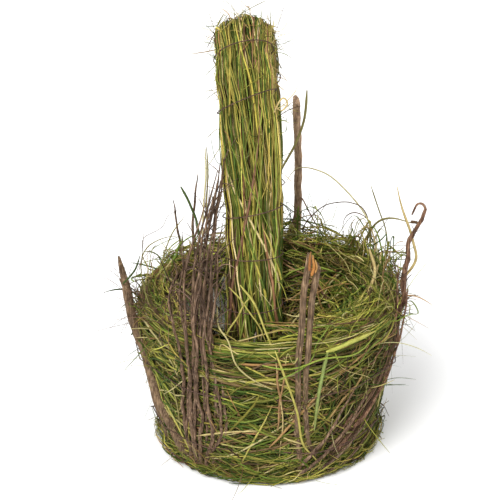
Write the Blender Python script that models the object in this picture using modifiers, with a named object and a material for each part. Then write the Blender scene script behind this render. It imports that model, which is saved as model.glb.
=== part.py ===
"""Easter basket: a grass-covered wire frame with upright twigs and a tall arched handle.

The body is round and tapers to a flat base.  From the inside outwards it is a clear
film liner, a thin grass lining, a wire frame of rings and ribs, and a wall of packed
grass.  Twigs stand round the outside and are bound on with thin wire.  The handle is a
bundle of grass round a core wire, whose two ends run down inside the wall like ribs.

Metres, +Z up.  The origin is the centre of the flat underside, the front is -Y, and the
handle's arch stands in a vertical plane turned a little from the YZ plane.
"""
import math

import bmesh
import bpy
from mathutils import Vector

# Driving dimensions
BASE_RADIUS = 0.098
RIM_RADIUS = 0.128
BODY_HEIGHT = 0.152
SIDE_CURVE = 0.8          # power of the side's outline: below 1 it bellies outwards
BASE_THICKNESS = 0.012
WALL_THICKNESS = 0.010
LINING_THICKNESS = 0.005
SHOULDER_DROP = 0.004     # from the rim's top to where it starts to round over
RIM_INSETS = (0.0075, 0.0030)   # inner and outer edge of the rim's flat top
EDGE_ROUND = 0.005        # bevel round the base disc
FILM_THICKNESS = 0.0005
GAP = 0.0003              # clearance between touching pieces
SEGMENTS = 48             # facets round a turned piece

WIRE_RADIUS = 0.0012      # frame wire
BINDING_RADIUS = 0.0006   # binding wire and handle ties

HANDLE_WIDTH = 0.055      # across the arch
HANDLE_DEPTH = 0.034      # in the plane of the arch
HANDLE_TOP = 0.4145       # middle of the bundle at the apex
HANDLE_SPRING = 0.210     # height where the legs turn into the arch
HANDLE_HALF_SPAN = 0.0925
HANDLE_FOOT = 0.055
HANDLE_SHIFT = 0.0128     # how far both legs stand to -X of the basket's axis
HANDLE_TURN = 1.5         # degrees from the Y axis towards +X
HANDLE_LEAN = 0.0115      # how far the apex leans to -X of the legs
LEAN_POWER = 2.4          # how late in the arch the lean sets in
ARCH_POWERS = (0.85, 0.9) # fullness of the arch across and upwards: 1 is a plain ellipse
LEG_OFFSET = 1.2 * HANDLE_SHIFT   # a leg's sideways offset, with its turn allowed for
LEG_CLEARANCE = 0.0022    # from the film to the leg, so that the leg's flat side clears the round film
HANDLE_PINCH = 0.07       # how much a tie squeezes the bundle
PINCH_SPREAD = 1.3        # how many points of the line a squeeze reaches
FOOT_NARROWING = 0.10     # how much slimmer the bundle is at its feet
TIES_FRONT = ((0.180, 0.001), (0.226, 0.001), (0.277, 0.005), (0.371, 0.009), (0.405, 0.006))
TIES_REAR = ((0.340, -0.004), (0.230, 0.003))   # height, and rise at the end towards +X
TIE_POINTS = 20           # corners of a tie's loop
TIE_CLEARANCE = 0.0008    # from the bundle to its ties
BINDING_CLEARANCE = 0.0006
LOWER_BINDING, UPPER_BINDING = 0.036, 0.100   # heights of the wires round the body

FLOOR = BASE_THICKNESS + GAP                       # underside of the wall and the frame
FRAME_FLOOR = FLOOR + 4 * WIRE_RADIUS + 3 * GAP    # above the two crossed base wires
LINING_TOP = BODY_HEIGHT - 0.006
RING_INSET = WALL_THICKNESS + GAP + WIRE_RADIUS
RIB_INSET = RING_INSET + 2 * WIRE_RADIUS + GAP
LINING_INSET = RIB_INSET + WIRE_RADIUS + GAP
FILM_INSET = LINING_INSET + LINING_THICKNESS + GAP
RIB_ANGLES = [22.5 + 45.0 * k for k in range(8)]
FRONT_ANGLE = -97.5       # where the handle's core wire runs down inside the wall
REAR_ANGLE = 97.5
# Where the core wire crosses the rim into the handle, as (radius, height).
CORE_CROSSING = ((0.1120, 0.1492), (0.1070, 0.1525), (0.1000, 0.1580), (0.0930, 0.1680))
CORE_ENTRY = 0.180        # height above which it follows the handle's own line
CHANNEL_CLEARANCE = GAP + 0.0001

# Twigs: name, radius at the foot, radius at the tip, and a route of
# (angle in degrees from +X, height, distance from the wall's face).
TWIGS = (
    ("left_stick_front", 0.0050, 0.0044,
     ((-138, 0.006, 0), (-146, 0.030, 0), (-154, 0.060, 0), (-161, 0.094, 0.001),
      (-165, 0.130, 0.003), (-168, 0.170, 0.008), (-170, 0.201, 0.013))),
    ("left_stick_rear", 0.0038, 0.0034,
     ((-157, 0.004, 0), (-165, 0.028, 0), (-172, 0.066, 0.001), (-177, 0.102, 0.003),
      (-179, 0.126, 0.004))),
    ("front_stick_left", 0.0034, 0.0035,
     ((-73.5, 0.010, 0), (-76.5, 0.055, 0), (-77.6, 0.093, 0), (-78.3, 0.145, 0.001),
      (-77.4, 0.200, 0.003), (-75.2, 0.249, 0.004))),
    ("front_stick_right", 0.0031, 0.0034,
     ((-64.5, 0.018, 0), (-70.4, 0.045, 0), (-73.9, 0.085, 0), (-74.9, 0.140, 0.001),
      (-73.9, 0.200, 0.003), (-71.8, 0.238, 0.004))),
    ("back_stick", 0.0044, 0.0040,
     ((79, 0.006, 0), (78, 0.080, 0), (77, 0.150, 0.001), (76.2, 0.210, 0.003), (77.4, 0.306, 0.002))),
    ("rim_twig", 0.0021, 0.0017,
     ((54, 0.1568, -0.0066), (37, 0.1575, -0.0060), (22, 0.1570, -0.0060), (7, 0.1560, -0.0060))),
    ("right_bundle_twig_1", 0.0034, 0.0024,
     ((-60, 0.008, 0), (-49, 0.035, 0), (-34, 0.062, 0), (-20, 0.090, 0), (-15, 0.130, 0.001),
      (-14, 0.171, 0.002), (-12.5, 0.211, 0.003), (-12, 0.237, 0.009), (-11.5, 0.258, 0.015))),
    ("right_bundle_twig_2", 0.0026, 0.0014,
     ((-52, 0.006, 0), (-40, 0.028, 0), (-26, 0.051, 0), (-13, 0.078, 0), (-8.5, 0.115, 0.001),
      (-8, 0.150, 0.002), (-6, 0.190, 0.005))),
    ("right_bundle_twig_3", 0.0026, 0.0014,
     ((-55, 0.046, 0), (-41, 0.075, 0), (-28, 0.103, 0), (-22, 0.140, 0.001), (-20.5, 0.170, 0),
      (-19.5, 0.204, -0.001))),
    ("right_bundle_twig_4", 0.0022, 0.0013,
     ((-44, 0.005, 0), (-32, 0.024, 0), (-17, 0.045, 0), (-5, 0.070, 0), (-1.5, 0.105, 0.002),
      (-0.5, 0.143, 0.004))),
    ("right_bundle_twig_5", 0.0020, 0.0012,
     ((-47, 0.050, 0.0072), (-30, 0.078, 0.0072), (-18.5, 0.108, 0.0074), (-17.5, 0.150, 0.0078),
      (-17.5, 0.178, 0.009))),
    ("fan_twig_1", 0.0017, 0.0011,
     ((-77, 0.005, 0.009), (-64, 0.028, 0.009), (-52, 0.054, 0.0075), (-41, 0.084, 0.0065))),
    ("fan_twig_2", 0.0017, 0.0011,
     ((-72.5, 0.004, 0.009), (-57, 0.018, 0.0085), (-43, 0.040, 0.0075), (-31, 0.058, 0.0070))),
    ("fan_twig_3", 0.0016, 0.0010,
     ((-74, 0.022, 0.009), (-65, 0.046, 0.0085), (-57, 0.074, 0.0070), (-50, 0.098, 0.0060))),
    ("fan_twig_4", 0.0015, 0.0010,
     ((-66, 0.003, 0.009), (-50, 0.0075, 0.0085), (-36, 0.020, 0.0070), (-24, 0.037, 0.0065))),
    ("rear_bundle_twig_1", 0.0026, 0.0012,
     ((124, 0.006, 0), (126, 0.070, 0), (127, 0.150, 0.001), (124, 0.235, -0.002))),
    ("rear_bundle_twig_2", 0.0024, 0.0011,
     ((129, 0.005, 0), (131.5, 0.070, 0), (133, 0.150, 0.001), (137, 0.214, 0.002))),
    ("rear_bundle_twig_3", 0.0021, 0.0011,
     ((119, 0.005, 0), (120.5, 0.070, 0), (120, 0.150, 0.001), (115, 0.196, 0.003))),
)

# Left bundle: one row for each twig, as (angle at the foot, low down, at the waist, at the
# rim, above it and at the tip, height of the tip, and whether it lies on its neighbours).
LEFT_BUNDLE = (
    (-132.0, -131.0, -128.0, -126.2, -131.0, -128.0, 0.245, False),
    (-128.6, -126.6, -124.0, -122.6, -124.6, -120.0, 0.318, False),
    (-125.4, -121.0, -119.6, -118.6, -118.6, -117.0, 0.300, False),
    (-122.2, -115.0, -114.6, -115.0, -113.4, -114.6, 0.250, False),
    (-134.0, -133.4, -130.0, -128.4, -135.0, -131.0, 0.222, True),
    (-130.2, -128.6, -126.0, -124.2, -127.2, -122.0, 0.292, True),
    (-127.0, -123.8, -121.8, -120.4, -121.4, -118.4, 0.309, True),
    (-123.8, -118.0, -117.2, -116.4, -115.6, -115.6, 0.270, True),
)
LEFT_TWIG_RADIUS = 0.0021
LEFT_TIP_RADIUS = 0.0010
LEFT_LAYER = 0.0047       # step outwards to the second layer
LEFT_INWARD = 0.0195      # how far the tallest tips lean in over the rim

# Loose stems: name, radius and a route of points.
STEMS = (
    ("left_loop_stem", 0.0009,
     ((-0.112, -0.050, 0.1545), (-0.119, -0.050, 0.178), (-0.1215, -0.0495, 0.203),
      (-0.1155, -0.045, 0.2195), (-0.097, -0.042, 0.2295), (-0.0815, -0.042, 0.2305))),
    ("right_straw_stem", 0.0013,
     ((0.1225, 0.004, 0.1545), (0.135, 0.006, 0.168), (0.1445, 0.006, 0.186),
      (0.1400, 0.005, 0.206), (0.132, 0.002, 0.234), (0.1235, 0.000, 0.264))),
    ("back_arch_stem", 0.0011,
     ((0.1115, 0.036, 0.1545), (0.109, 0.052, 0.180), (0.098, 0.070, 0.208), (0.070, 0.090, 0.234),
      (0.050, 0.103, 0.242), (0.030, 0.1135, 0.240), (0.018, 0.1170, 0.222))),
    ("tall_yellow_stem", 0.0013,
     ((0.0369, 0.050, 0.345), (0.0334, 0.050, 0.315), (0.0259, 0.051, 0.289),
      (0.0160, 0.056, 0.265), (0.0090, 0.066, 0.244))),
    ("brown_tip_stem", 0.0012,
     ((0.0935, 0.0728, 0.1545), (0.100, 0.060, 0.185), (0.108, 0.045, 0.208),
      (0.122, 0.035, 0.218), (0.138, 0.030, 0.2165))),
)


def clear_scene():
    for obj in list(bpy.data.objects):
        bpy.data.objects.remove(obj, do_unlink=True)


def new_collection(name):
    collection = bpy.data.collections.new(name)
    bpy.context.scene.collection.children.link(collection)
    return collection


def material(name, color, roughness, metallic=0.0, alpha=1.0):
    mat = bpy.data.materials.new(name)
    mat.use_nodes = True
    shader = mat.node_tree.nodes["Principled BSDF"]
    shader.inputs["Base Color"].default_value = (*color, 1.0)
    shader.inputs["Roughness"].default_value = roughness
    shader.inputs["Metallic"].default_value = metallic
    shader.inputs["Alpha"].default_value = alpha
    return mat


def side_radius(z):
    """Radius of the wall's outer face at height z; above the rim it stays the rim's."""
    share = min(max(z, 0.0), BODY_HEIGHT) / BODY_HEIGHT
    return BASE_RADIUS + (RIM_RADIUS - BASE_RADIUS) * share ** SIDE_CURVE


def around(angle, radius, z):
    """The point at an angle in degrees, a radius and a height."""
    turn = math.radians(angle)
    return Vector((radius * math.cos(turn), radius * math.sin(turn), z))


def heights(low, high, count):
    return [low + (high - low) * i / (count - 1) for i in range(count)]


def smooth(route, steps):
    """A Catmull-Rom curve through the rows of a route, with steps points for each stretch."""
    rows = [Vector(row) for row in route]
    rows = [2 * rows[0] - rows[1]] + rows + [2 * rows[-1] - rows[-2]]
    result = []
    for a, b, c, d in zip(rows, rows[1:], rows[2:], rows[3:]):
        for i in range(steps):
            t = i / steps
            result.append(0.5 * (2 * b + (c - a) * t + (2 * a - 5 * b + 4 * c - d) * t ** 2
                                 + (3 * b - a - 3 * c + d) * t ** 3))
    result.append(rows[-2])
    return result


def tube(name, points, radii, mat, collection, closed=False, sides=6, x_scale=1.0):
    """A round bar along points; x_scale widens its section across X."""
    curve = bpy.data.curves.new(name, "CURVE")
    curve.dimensions = "3D"
    curve.bevel_resolution = sides // 2 - 2
    curve.bevel_depth = max(radii)
    curve.use_fill_caps = not closed
    spline = curve.splines.new("POLY")
    spline.points.add(len(points) - 1)
    spline.use_cyclic_u = closed
    for knot, place, radius in zip(spline.points, points, radii):
        knot.co = (place[0] / x_scale, place[1], place[2], 1.0)
        knot.radius = radius / max(radii)
    curve.materials.append(mat)
    obj = bpy.data.objects.new(name, curve)
    obj.scale = (x_scale, 1.0, 1.0)
    collection.objects.link(obj)
    return obj


def to_mesh(obj, collection):
    """The curve object as a welded mesh object, which a Boolean can cut or use."""
    bpy.context.view_layer.update()
    graph = bpy.context.evaluated_depsgraph_get()
    mesh = bpy.data.meshes.new_from_object(obj.evaluated_get(graph))
    work = bmesh.new()
    work.from_mesh(mesh)
    bmesh.ops.remove_doubles(work, verts=work.verts, dist=0.00001)
    work.to_mesh(mesh)
    work.free()
    name = obj.name
    place = obj.matrix_world.copy()
    bpy.data.objects.remove(obj, do_unlink=True)
    solid = bpy.data.objects.new(name, mesh)
    solid.matrix_world = place
    collection.objects.link(solid)
    return solid


def turned(name, profile, mat, collection, closed=True):
    """A profile of (radius, height) points spun round Z, outer side first, top to bottom."""
    work = bmesh.new()
    corners = [work.verts.new((radius, 0.0, z)) for radius, z in profile]
    for a, b in zip(corners, corners[1:]):
        work.edges.new((a, b))
    if closed:
        work.edges.new((corners[-1], corners[0]))
    mesh = bpy.data.meshes.new(name)
    work.to_mesh(mesh)
    work.free()
    mesh.materials.append(mat)
    obj = bpy.data.objects.new(name, mesh)
    collection.objects.link(obj)
    screw = obj.modifiers.new("Turn", "SCREW")
    screw.steps = SEGMENTS
    screw.render_steps = SEGMENTS
    screw.use_merge_vertices = True
    screw.merge_threshold = 0.00001
    screw.use_smooth_shade = True
    weld = obj.modifiers.new("Axis", "WELD")
    weld.merge_threshold = 0.00001
    return obj


def grass_base(mat, collection):
    """The disc of packed grass that closes the bottom and that the basket stands on."""
    work = bmesh.new()
    bmesh.ops.create_cone(work, cap_ends=True, segments=SEGMENTS, radius1=BASE_RADIUS - 0.002,
                          radius2=side_radius(BASE_THICKNESS), depth=BASE_THICKNESS)
    bmesh.ops.translate(work, verts=work.verts, vec=(0.0, 0.0, BASE_THICKNESS / 2))
    mesh = bpy.data.meshes.new("grass_base")
    work.to_mesh(mesh)
    work.free()
    mesh.materials.append(mat)
    mesh.shade_smooth()
    mesh.set_sharp_from_angle(angle=math.radians(40))
    obj = bpy.data.objects.new("grass_base", mesh)
    collection.objects.link(obj)
    bevel = obj.modifiers.new("Edge", "BEVEL")
    bevel.width = EDGE_ROUND
    bevel.segments = 2
    bevel.limit_method = "ANGLE"
    bevel.angle_limit = math.radians(50)


def grass_wall(mat, collection):
    """The outer wall of packed grass, rounded over at the rim."""
    top = BODY_HEIGHT - SHOULDER_DROP
    outer = [(side_radius(z), z) for z in reversed(heights(FLOOR, top, 6))]
    inner = [(side_radius(z) - WALL_THICKNESS, z) for z in heights(FLOOR, top, 5)]
    rim = [(RIM_RADIUS - inset, BODY_HEIGHT) for inset in RIM_INSETS]
    turned("grass_wall", outer + inner + rim, mat, collection)


def grass_lining(mat, collection):
    """The thin layer of grass between the wire frame and the film."""
    levels = heights(FRAME_FLOOR, LINING_TOP, 4)
    outer = [(side_radius(z) - LINING_INSET, z) for z in reversed(levels)]
    inner = [(side_radius(z) - LINING_INSET - LINING_THICKNESS, z) for z in levels]
    turned("grass_lining", outer + inner, mat, collection)


def film_liner(mat, collection):
    """The clear film cup, open at the top."""
    levels = heights(FRAME_FLOOR + FILM_THICKNESS, LINING_TOP - GAP, 4)
    side = [(side_radius(z) - FILM_INSET, z) for z in reversed(levels)]
    obj = turned("film_liner", side + [(0.0, levels[0])], mat, collection, closed=False)
    skin = obj.modifiers.new("Skin", "SOLIDIFY")
    skin.thickness = FILM_THICKNESS
    skin.offset = -1.0


def ring(name, z, mat, collection):
    """A hoop of frame wire against the inside of the wall."""
    radius = side_radius(z) - RING_INSET
    points = [around(360.0 * i / SEGMENTS, radius, z) for i in range(SEGMENTS)]
    tube(name, points, [WIRE_RADIUS] * SEGMENTS, mat, collection, closed=True)


def wire_frame(mat, collection):
    """Two crossed base wires, three rings and the upright ribs."""
    reach = side_radius(FLOOR) - RING_INSET
    for level, (name, angle) in enumerate((("base_cross_wire_1", 0.0), ("base_cross_wire_2", 90.0))):
        z = FLOOR + WIRE_RADIUS + level * (2 * WIRE_RADIUS + GAP)
        points = [around(angle, reach * share, z) for share in (-1.0, 0.0, 1.0)]
        tube(name, points, [WIRE_RADIUS] * 3, mat, collection)
    ring("base_ring", FRAME_FLOOR + WIRE_RADIUS, mat, collection)
    ring("middle_ring", 0.5 * BODY_HEIGHT, mat, collection)
    ring("rim_ring", LINING_TOP - 0.003, mat, collection)
    for number, angle in enumerate(RIB_ANGLES, 1):
        levels = heights(FRAME_FLOOR + GAP, LINING_TOP, 8)
        points = [around(angle, side_radius(z) - RIB_INSET, z) for z in levels]
        tube(f"rib_wire_{number}", points, [WIRE_RADIUS] * len(points), mat, collection)


def arch_point(reach, z):
    """A point of the handle's centre line, reach metres from the middle along its turned plane."""
    rise = max(0.0, (z - HANDLE_SPRING) / (HANDLE_TOP - HANDLE_SPRING))
    turn = math.radians(HANDLE_TURN)
    x = reach * math.sin(turn) - HANDLE_SHIFT - HANDLE_LEAN * rise ** LEAN_POWER
    return Vector((x, reach * math.cos(turn), z))


def leg_reach(z):
    """How far the middle of a leg stands from the plane between the legs at height z."""
    radius = side_radius(z) - FILM_INSET - LEG_CLEARANCE - HANDLE_DEPTH / 2
    against_lining = math.sqrt(radius ** 2 - LEG_OFFSET ** 2)
    rise = min(max((z - BODY_HEIGHT) / (HANDLE_SPRING - BODY_HEIGHT), 0.0), 1.0)
    return against_lining + (HANDLE_HALF_SPAN - against_lining) * rise * rise * (3 - 2 * rise)


def handle_line():
    """The handle's centre line from the front foot over the top to the rear foot."""
    leg = [(leg_reach(z), z) for z in heights(HANDLE_FOOT, HANDLE_SPRING, 13)]
    height = HANDLE_TOP - HANDLE_SPRING
    full, high = ARCH_POWERS
    arch = []
    for i in range(1, 32):
        turn = math.pi * i / 32
        across = math.copysign(abs(math.cos(turn)) ** full, math.cos(turn))
        arch.append((HANDLE_HALF_SPAN * across, HANDLE_SPRING + height * math.sin(turn) ** high))
    rear = [(-reach, z) for reach, z in reversed(leg)]
    return [arch_point(-reach, z) for reach, z in leg + arch + rear]


def nearest(line, z, rear):
    """The index of the line's point closest to height z on the front or the rear leg."""
    middle = len(line) // 2
    side = range(middle, len(line)) if rear else range(middle + 1)
    return min(side, key=lambda i: abs(line[i].z - z))


def tie_places(line):
    """The index on the line, and the tilt, of each tie."""
    front = [(nearest(line, z, False), tilt) for z, tilt in TIES_FRONT]
    rear = [(nearest(line, z, True), tilt) for z, tilt in TIES_REAR]
    return front + rear


def handle_core(line, mat, collection):
    """The core wire's route: up the channel in the wall, over the lining and round the arch."""
    channel = [(side_radius(z) - RIB_INSET, z) for z in heights(FRAME_FLOOR + GAP, LINING_TOP, 6)]
    channel += CORE_CROSSING
    front = [around(FRONT_ANGLE, radius, z) for radius, z in channel]
    rear = [around(REAR_ANGLE, radius, z) for radius, z in channel]
    inside = [p for p in line[::2] if p.z > CORE_ENTRY]
    route = smooth(front + inside + rear[::-1], 2)
    tube("handle_core_wire", route, [WIRE_RADIUS] * len(route), mat, collection)
    return route


def grass_handle(line, core_route, mat, collection, cutters):
    """The bundle of grass, squeezed at each tie, with a channel along the core wire."""
    half = HANDLE_DEPTH / 2
    radii = []
    for i, place in enumerate(line):
        steps = min(abs(i - k) for k, _ in tie_places(line))
        squeeze = HANDLE_PINCH * math.exp(-(steps / PINCH_SPREAD) ** 2)
        foot = FOOT_NARROWING * max(0.0, 1.0 - (place.z - HANDLE_FOOT) / (BODY_HEIGHT - HANDLE_FOOT))
        radii.append(half * (1.0 - squeeze - foot))
    bundle = tube("grass_handle", line, radii, mat, collection, sides=12,
                  x_scale=HANDLE_WIDTH / HANDLE_DEPTH)
    bundle = to_mesh(bundle, collection)
    channel = [p for p in core_route if p.z > LINING_TOP]
    cutter = tube("core_channel", channel, [WIRE_RADIUS + CHANNEL_CLEARANCE] * len(channel), mat, cutters)
    cutter = to_mesh(cutter, cutters)
    cutter.hide_render = True
    cutter.display_type = "WIRE"
    cut = bundle.modifiers.new("Core channel", "BOOLEAN")
    cut.operation = "DIFFERENCE"
    cut.solver = "EXACT"
    cut.object = cutter


def handle_ties(line, mat, collection):
    """A wire loop round the bundle at each squeezed place, each tilted a little."""
    for number, (i, tilt) in enumerate(tie_places(line), 1):
        along = (line[i + 1] - line[i - 1]).normalized()
        wide = (Vector((1.0, 0.0, 0.0)) - along * along.x).normalized()
        deep = along.cross(wide)
        half = HANDLE_DEPTH / 2 * (1.0 - 0.5 * HANDLE_PINCH) + BINDING_RADIUS + TIE_CLEARANCE
        half_wide = half + (HANDLE_WIDTH - HANDLE_DEPTH) / 2 * (1.0 - 0.5 * HANDLE_PINCH)
        points = []
        for k in range(TIE_POINTS):
            turn = 2 * math.pi * k / TIE_POINTS
            points.append(line[i] + wide * half_wide * math.cos(turn) + deep * half * math.sin(turn)
                          + along * tilt * math.cos(turn))
        tube(f"handle_tie_{number}", points, [BINDING_RADIUS] * TIE_POINTS, mat, collection, closed=True)


def twig_points(route, radius):
    """A twig's centre line from its route along the wall."""
    points = []
    for angle, z, off in smooth(route, 2):
        points.append(around(angle, side_radius(z) + GAP + radius + off, z))
    return points


def twig(name, foot, tip, route, mat, collection):
    points = twig_points(route, foot)
    last = len(points) - 1
    radii = [foot + (tip - foot) * i / last for i in range(last + 1)]
    tube(name, points, radii, mat, collection)
    return list(zip(points, radii))


def left_bundle_routes():
    """Routes of the slender twigs at the front left, which lean together above the rim."""
    tallest = max(row[6] for row in LEFT_BUNDLE)
    for foot, low, waist, rim, above, tip, top, outer in LEFT_BUNDLE:
        off = LEFT_LAYER if outer else 0.0
        lean = LEFT_INWARD * ((top - BODY_HEIGHT) / (tallest - BODY_HEIGHT)) ** 2
        middle = (top + BODY_HEIGHT) / 2
        yield ((foot, 0.006, off), (low, 0.050, off), (waist, 0.105, off),
               (rim, BODY_HEIGHT, off + 0.001), (above, middle, off - 0.2 * lean),
               (tip, top, off - lean))


def hull(points):
    """The outline of a taut loop round flat points (Andrew's monotone chain)."""
    def half(ordered):
        chain = []
        for p in ordered:
            while len(chain) > 1:
                (ax, ay), (bx, by) = chain[-2], chain[-1]
                if (bx - ax) * (p[1] - ay) - (by - ay) * (p[0] - ax) > 0:
                    break
                chain.pop()
            chain.append(p)
        return chain[:-1]
    ordered = sorted(set(points))
    return half(ordered) + half(ordered[::-1])


def binding(name, z, twigs, mat, collection):
    """A wire pulled tight round the wall and every twig that crosses height z."""
    clearance = BINDING_RADIUS + BINDING_CLEARANCE
    corners = [around(7.5 * k, side_radius(z) + clearance, z) for k in range(SEGMENTS)]
    for sections in twigs:
        for (a, radius_a), (b, radius_b) in zip(sections, sections[1:]):
            for share in (0.0, 0.25, 0.5, 0.75, 1.0):
                middle = a.lerp(b, share)
                radius = radius_a + (radius_b - radius_a) * share + clearance
                if abs(middle.z - z) < radius + 2 * BINDING_RADIUS:
                    corners += [middle + around(30.0 * k, radius, 0.0) for k in range(12)]
    outline = hull([(round(p.x, 5), round(p.y, 5)) for p in corners])
    points = [Vector((x, y, z)) for x, y in outline]
    tube(name, points, [BINDING_RADIUS] * len(points), mat, collection, closed=True)


def build():
    clear_scene()
    basket = new_collection("easter_basket")
    cutters = new_collection("cutters")
    green = material("outer_grass", (0.20, 0.25, 0.05), 0.85)
    deep_green = material("lining_grass", (0.14, 0.18, 0.05), 0.85)
    yellow_green = material("handle_grass", (0.30, 0.33, 0.07), 0.85)
    straw = material("straw", (0.55, 0.44, 0.18), 0.8)
    bark = material("bark", (0.11, 0.075, 0.055), 0.9)
    steel = material("frame_wire", (0.16, 0.12, 0.09), 0.5, metallic=0.8)
    rust = material("binding_wire", (0.20, 0.10, 0.06), 0.55, metallic=0.7)
    film = material("clear_film", (0.9, 0.92, 0.92), 0.15, alpha=0.3)

    grass_base(green, basket)
    grass_wall(green, basket)
    grass_lining(deep_green, basket)
    film_liner(film, basket)
    wire_frame(steel, basket)

    line = handle_line()
    core_route = handle_core(line, steel, basket)
    grass_handle(line, core_route, yellow_green, basket, cutters)
    handle_ties(line, rust, basket)

    twigs = [twig(name, foot, tip, route, bark, basket) for name, foot, tip, route in TWIGS]
    for number, route in enumerate(left_bundle_routes(), 1):
        name = f"left_bundle_twig_{number}"
        twigs.append(twig(name, LEFT_TWIG_RADIUS, LEFT_TIP_RADIUS, route, bark, basket))
    binding("lower_binding", LOWER_BINDING, twigs, rust, basket)
    binding("upper_binding", UPPER_BINDING, twigs, rust, basket)
    for name, radius, route in STEMS:
        points = smooth(route, 3)
        tube(name, points, [radius] * len(points), straw, basket)


build()
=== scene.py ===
import math

import bpy
import numpy as np
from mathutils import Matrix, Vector


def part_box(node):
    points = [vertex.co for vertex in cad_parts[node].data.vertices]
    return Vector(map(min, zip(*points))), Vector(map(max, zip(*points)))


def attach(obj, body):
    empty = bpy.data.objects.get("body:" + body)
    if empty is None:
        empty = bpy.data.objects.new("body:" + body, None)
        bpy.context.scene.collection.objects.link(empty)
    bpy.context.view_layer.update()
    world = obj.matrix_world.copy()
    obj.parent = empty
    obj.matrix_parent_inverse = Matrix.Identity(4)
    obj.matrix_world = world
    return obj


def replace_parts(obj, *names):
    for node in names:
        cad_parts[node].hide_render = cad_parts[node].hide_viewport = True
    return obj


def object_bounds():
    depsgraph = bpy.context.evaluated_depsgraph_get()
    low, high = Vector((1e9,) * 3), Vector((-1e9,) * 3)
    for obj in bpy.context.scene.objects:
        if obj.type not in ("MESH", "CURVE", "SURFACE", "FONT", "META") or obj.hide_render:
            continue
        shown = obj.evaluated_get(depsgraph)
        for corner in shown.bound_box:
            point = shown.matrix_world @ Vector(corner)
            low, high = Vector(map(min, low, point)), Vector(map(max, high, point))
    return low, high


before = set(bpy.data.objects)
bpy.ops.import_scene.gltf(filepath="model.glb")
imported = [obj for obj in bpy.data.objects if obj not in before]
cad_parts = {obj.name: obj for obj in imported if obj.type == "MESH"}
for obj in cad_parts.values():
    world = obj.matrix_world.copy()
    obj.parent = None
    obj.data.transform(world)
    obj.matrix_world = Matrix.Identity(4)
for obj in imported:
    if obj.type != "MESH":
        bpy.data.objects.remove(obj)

CAD_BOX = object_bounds()

# Sizes of the basket, in metres, read from the CAD nodes where a box gives them.
BASE_RADIUS = 0.098
RIM_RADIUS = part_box("grass_wall")[1].x
BODY_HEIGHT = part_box("grass_wall")[1].z
SIDE_CURVE = 0.8
LINING_FACE = 0.0205            # from the wall's outer face to the lining's inner face
FILM_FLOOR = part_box("film_liner")[0].z
HANDLE_WIDTH = 0.055
HANDLE_DEPTH = 0.034
HANDLE_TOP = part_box("grass_handle")[1].z - HANDLE_DEPTH / 2
HANDLE_SPRING = 0.210
HANDLE_HALF_SPAN = 0.0925
HANDLE_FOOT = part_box("grass_handle")[0].z
HANDLE_SHIFT = 0.0128           # both legs stand this far to -X of the basket's axis
HANDLE_TURN = math.radians(1.5)
HANDLE_LEAN = 0.0115
LEAN_POWER = 2.4
ARCH_POWERS = (0.85, 0.9)       # how full the arch is across and upwards; 1 is a half ellipse
LEG_INSET = 0.0232 + HANDLE_DEPTH / 2   # from the wall's outer face to the middle of a leg
LEG_OFFSET = 1.2 * HANDLE_SHIFT
FOOT_ROUND, FOOT_INSET = 0.006, 0.002   # height and depth of the rounding at the wall's foot
RIM_ROUND, RIM_INSET = 0.008, 0.005     # and at its rim
PINCH_DEPTH, PINCH_SPREAD = 0.10, 0.012         # how far a tie narrows the handle, and over what length
NARROW_FOOT, NARROW_LENGTH = 0.08, 0.10         # the same for its two feet

STRANDS_PER_PIECE = 200
UV_COLUMNS = 4

# Dry and half-dry grass, linear colours with how common each is.
GREENS = (
    ((0.44, 0.42, 0.085), 20),    # yellow-green
    ((0.27, 0.28, 0.050), 22),    # olive
    ((0.16, 0.24, 0.035), 18),    # mid green
    ((0.065, 0.12, 0.018), 14),   # dark green
    ((0.62, 0.50, 0.20), 9),      # straw
    ((0.78, 0.68, 0.38), 3),      # pale straw
    ((0.34, 0.21, 0.085), 8),     # tan
    ((0.13, 0.080, 0.045), 6),    # dead brown
)
DRY_TIP = np.array([0.62, 0.47, 0.20])
TIP_GAIN = 1.6
BRIGHTEST = (0.64, 0.57, 0.27)


# ---------------------------------------------------------------- shapes of the body

def flare(z):
    """Radius of the wall's outer face at height z, before its two edges are rounded."""
    share = np.clip(z, 0.0, BODY_HEIGHT) / BODY_HEIGHT
    return BASE_RADIUS + (RIM_RADIUS - BASE_RADIUS) * share ** SIDE_CURVE


def side_radius(z):
    """Radius of the wall's outer face at height z, rounded in at the foot and the rim."""
    foot = np.clip((FOOT_ROUND - z) / FOOT_ROUND, 0.0, 1.0)
    rim = np.clip((z - (BODY_HEIGHT - RIM_ROUND)) / RIM_ROUND, 0.0, 1.2)
    return flare(z) - FOOT_INSET * foot ** 2 - RIM_INSET * rim ** 2


def leg_reach(z):
    """How far a leg of the handle stands in front of or behind the basket's axis."""
    inside = np.sqrt((flare(z) - LEG_INSET) ** 2 - LEG_OFFSET ** 2)
    rise = np.clip((z - BODY_HEIGHT) / (HANDLE_SPRING - BODY_HEIGHT), 0.0, 1.0)
    return inside + (HANDLE_HALF_SPAN - inside) * rise * rise * (3 - 2 * rise)


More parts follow.
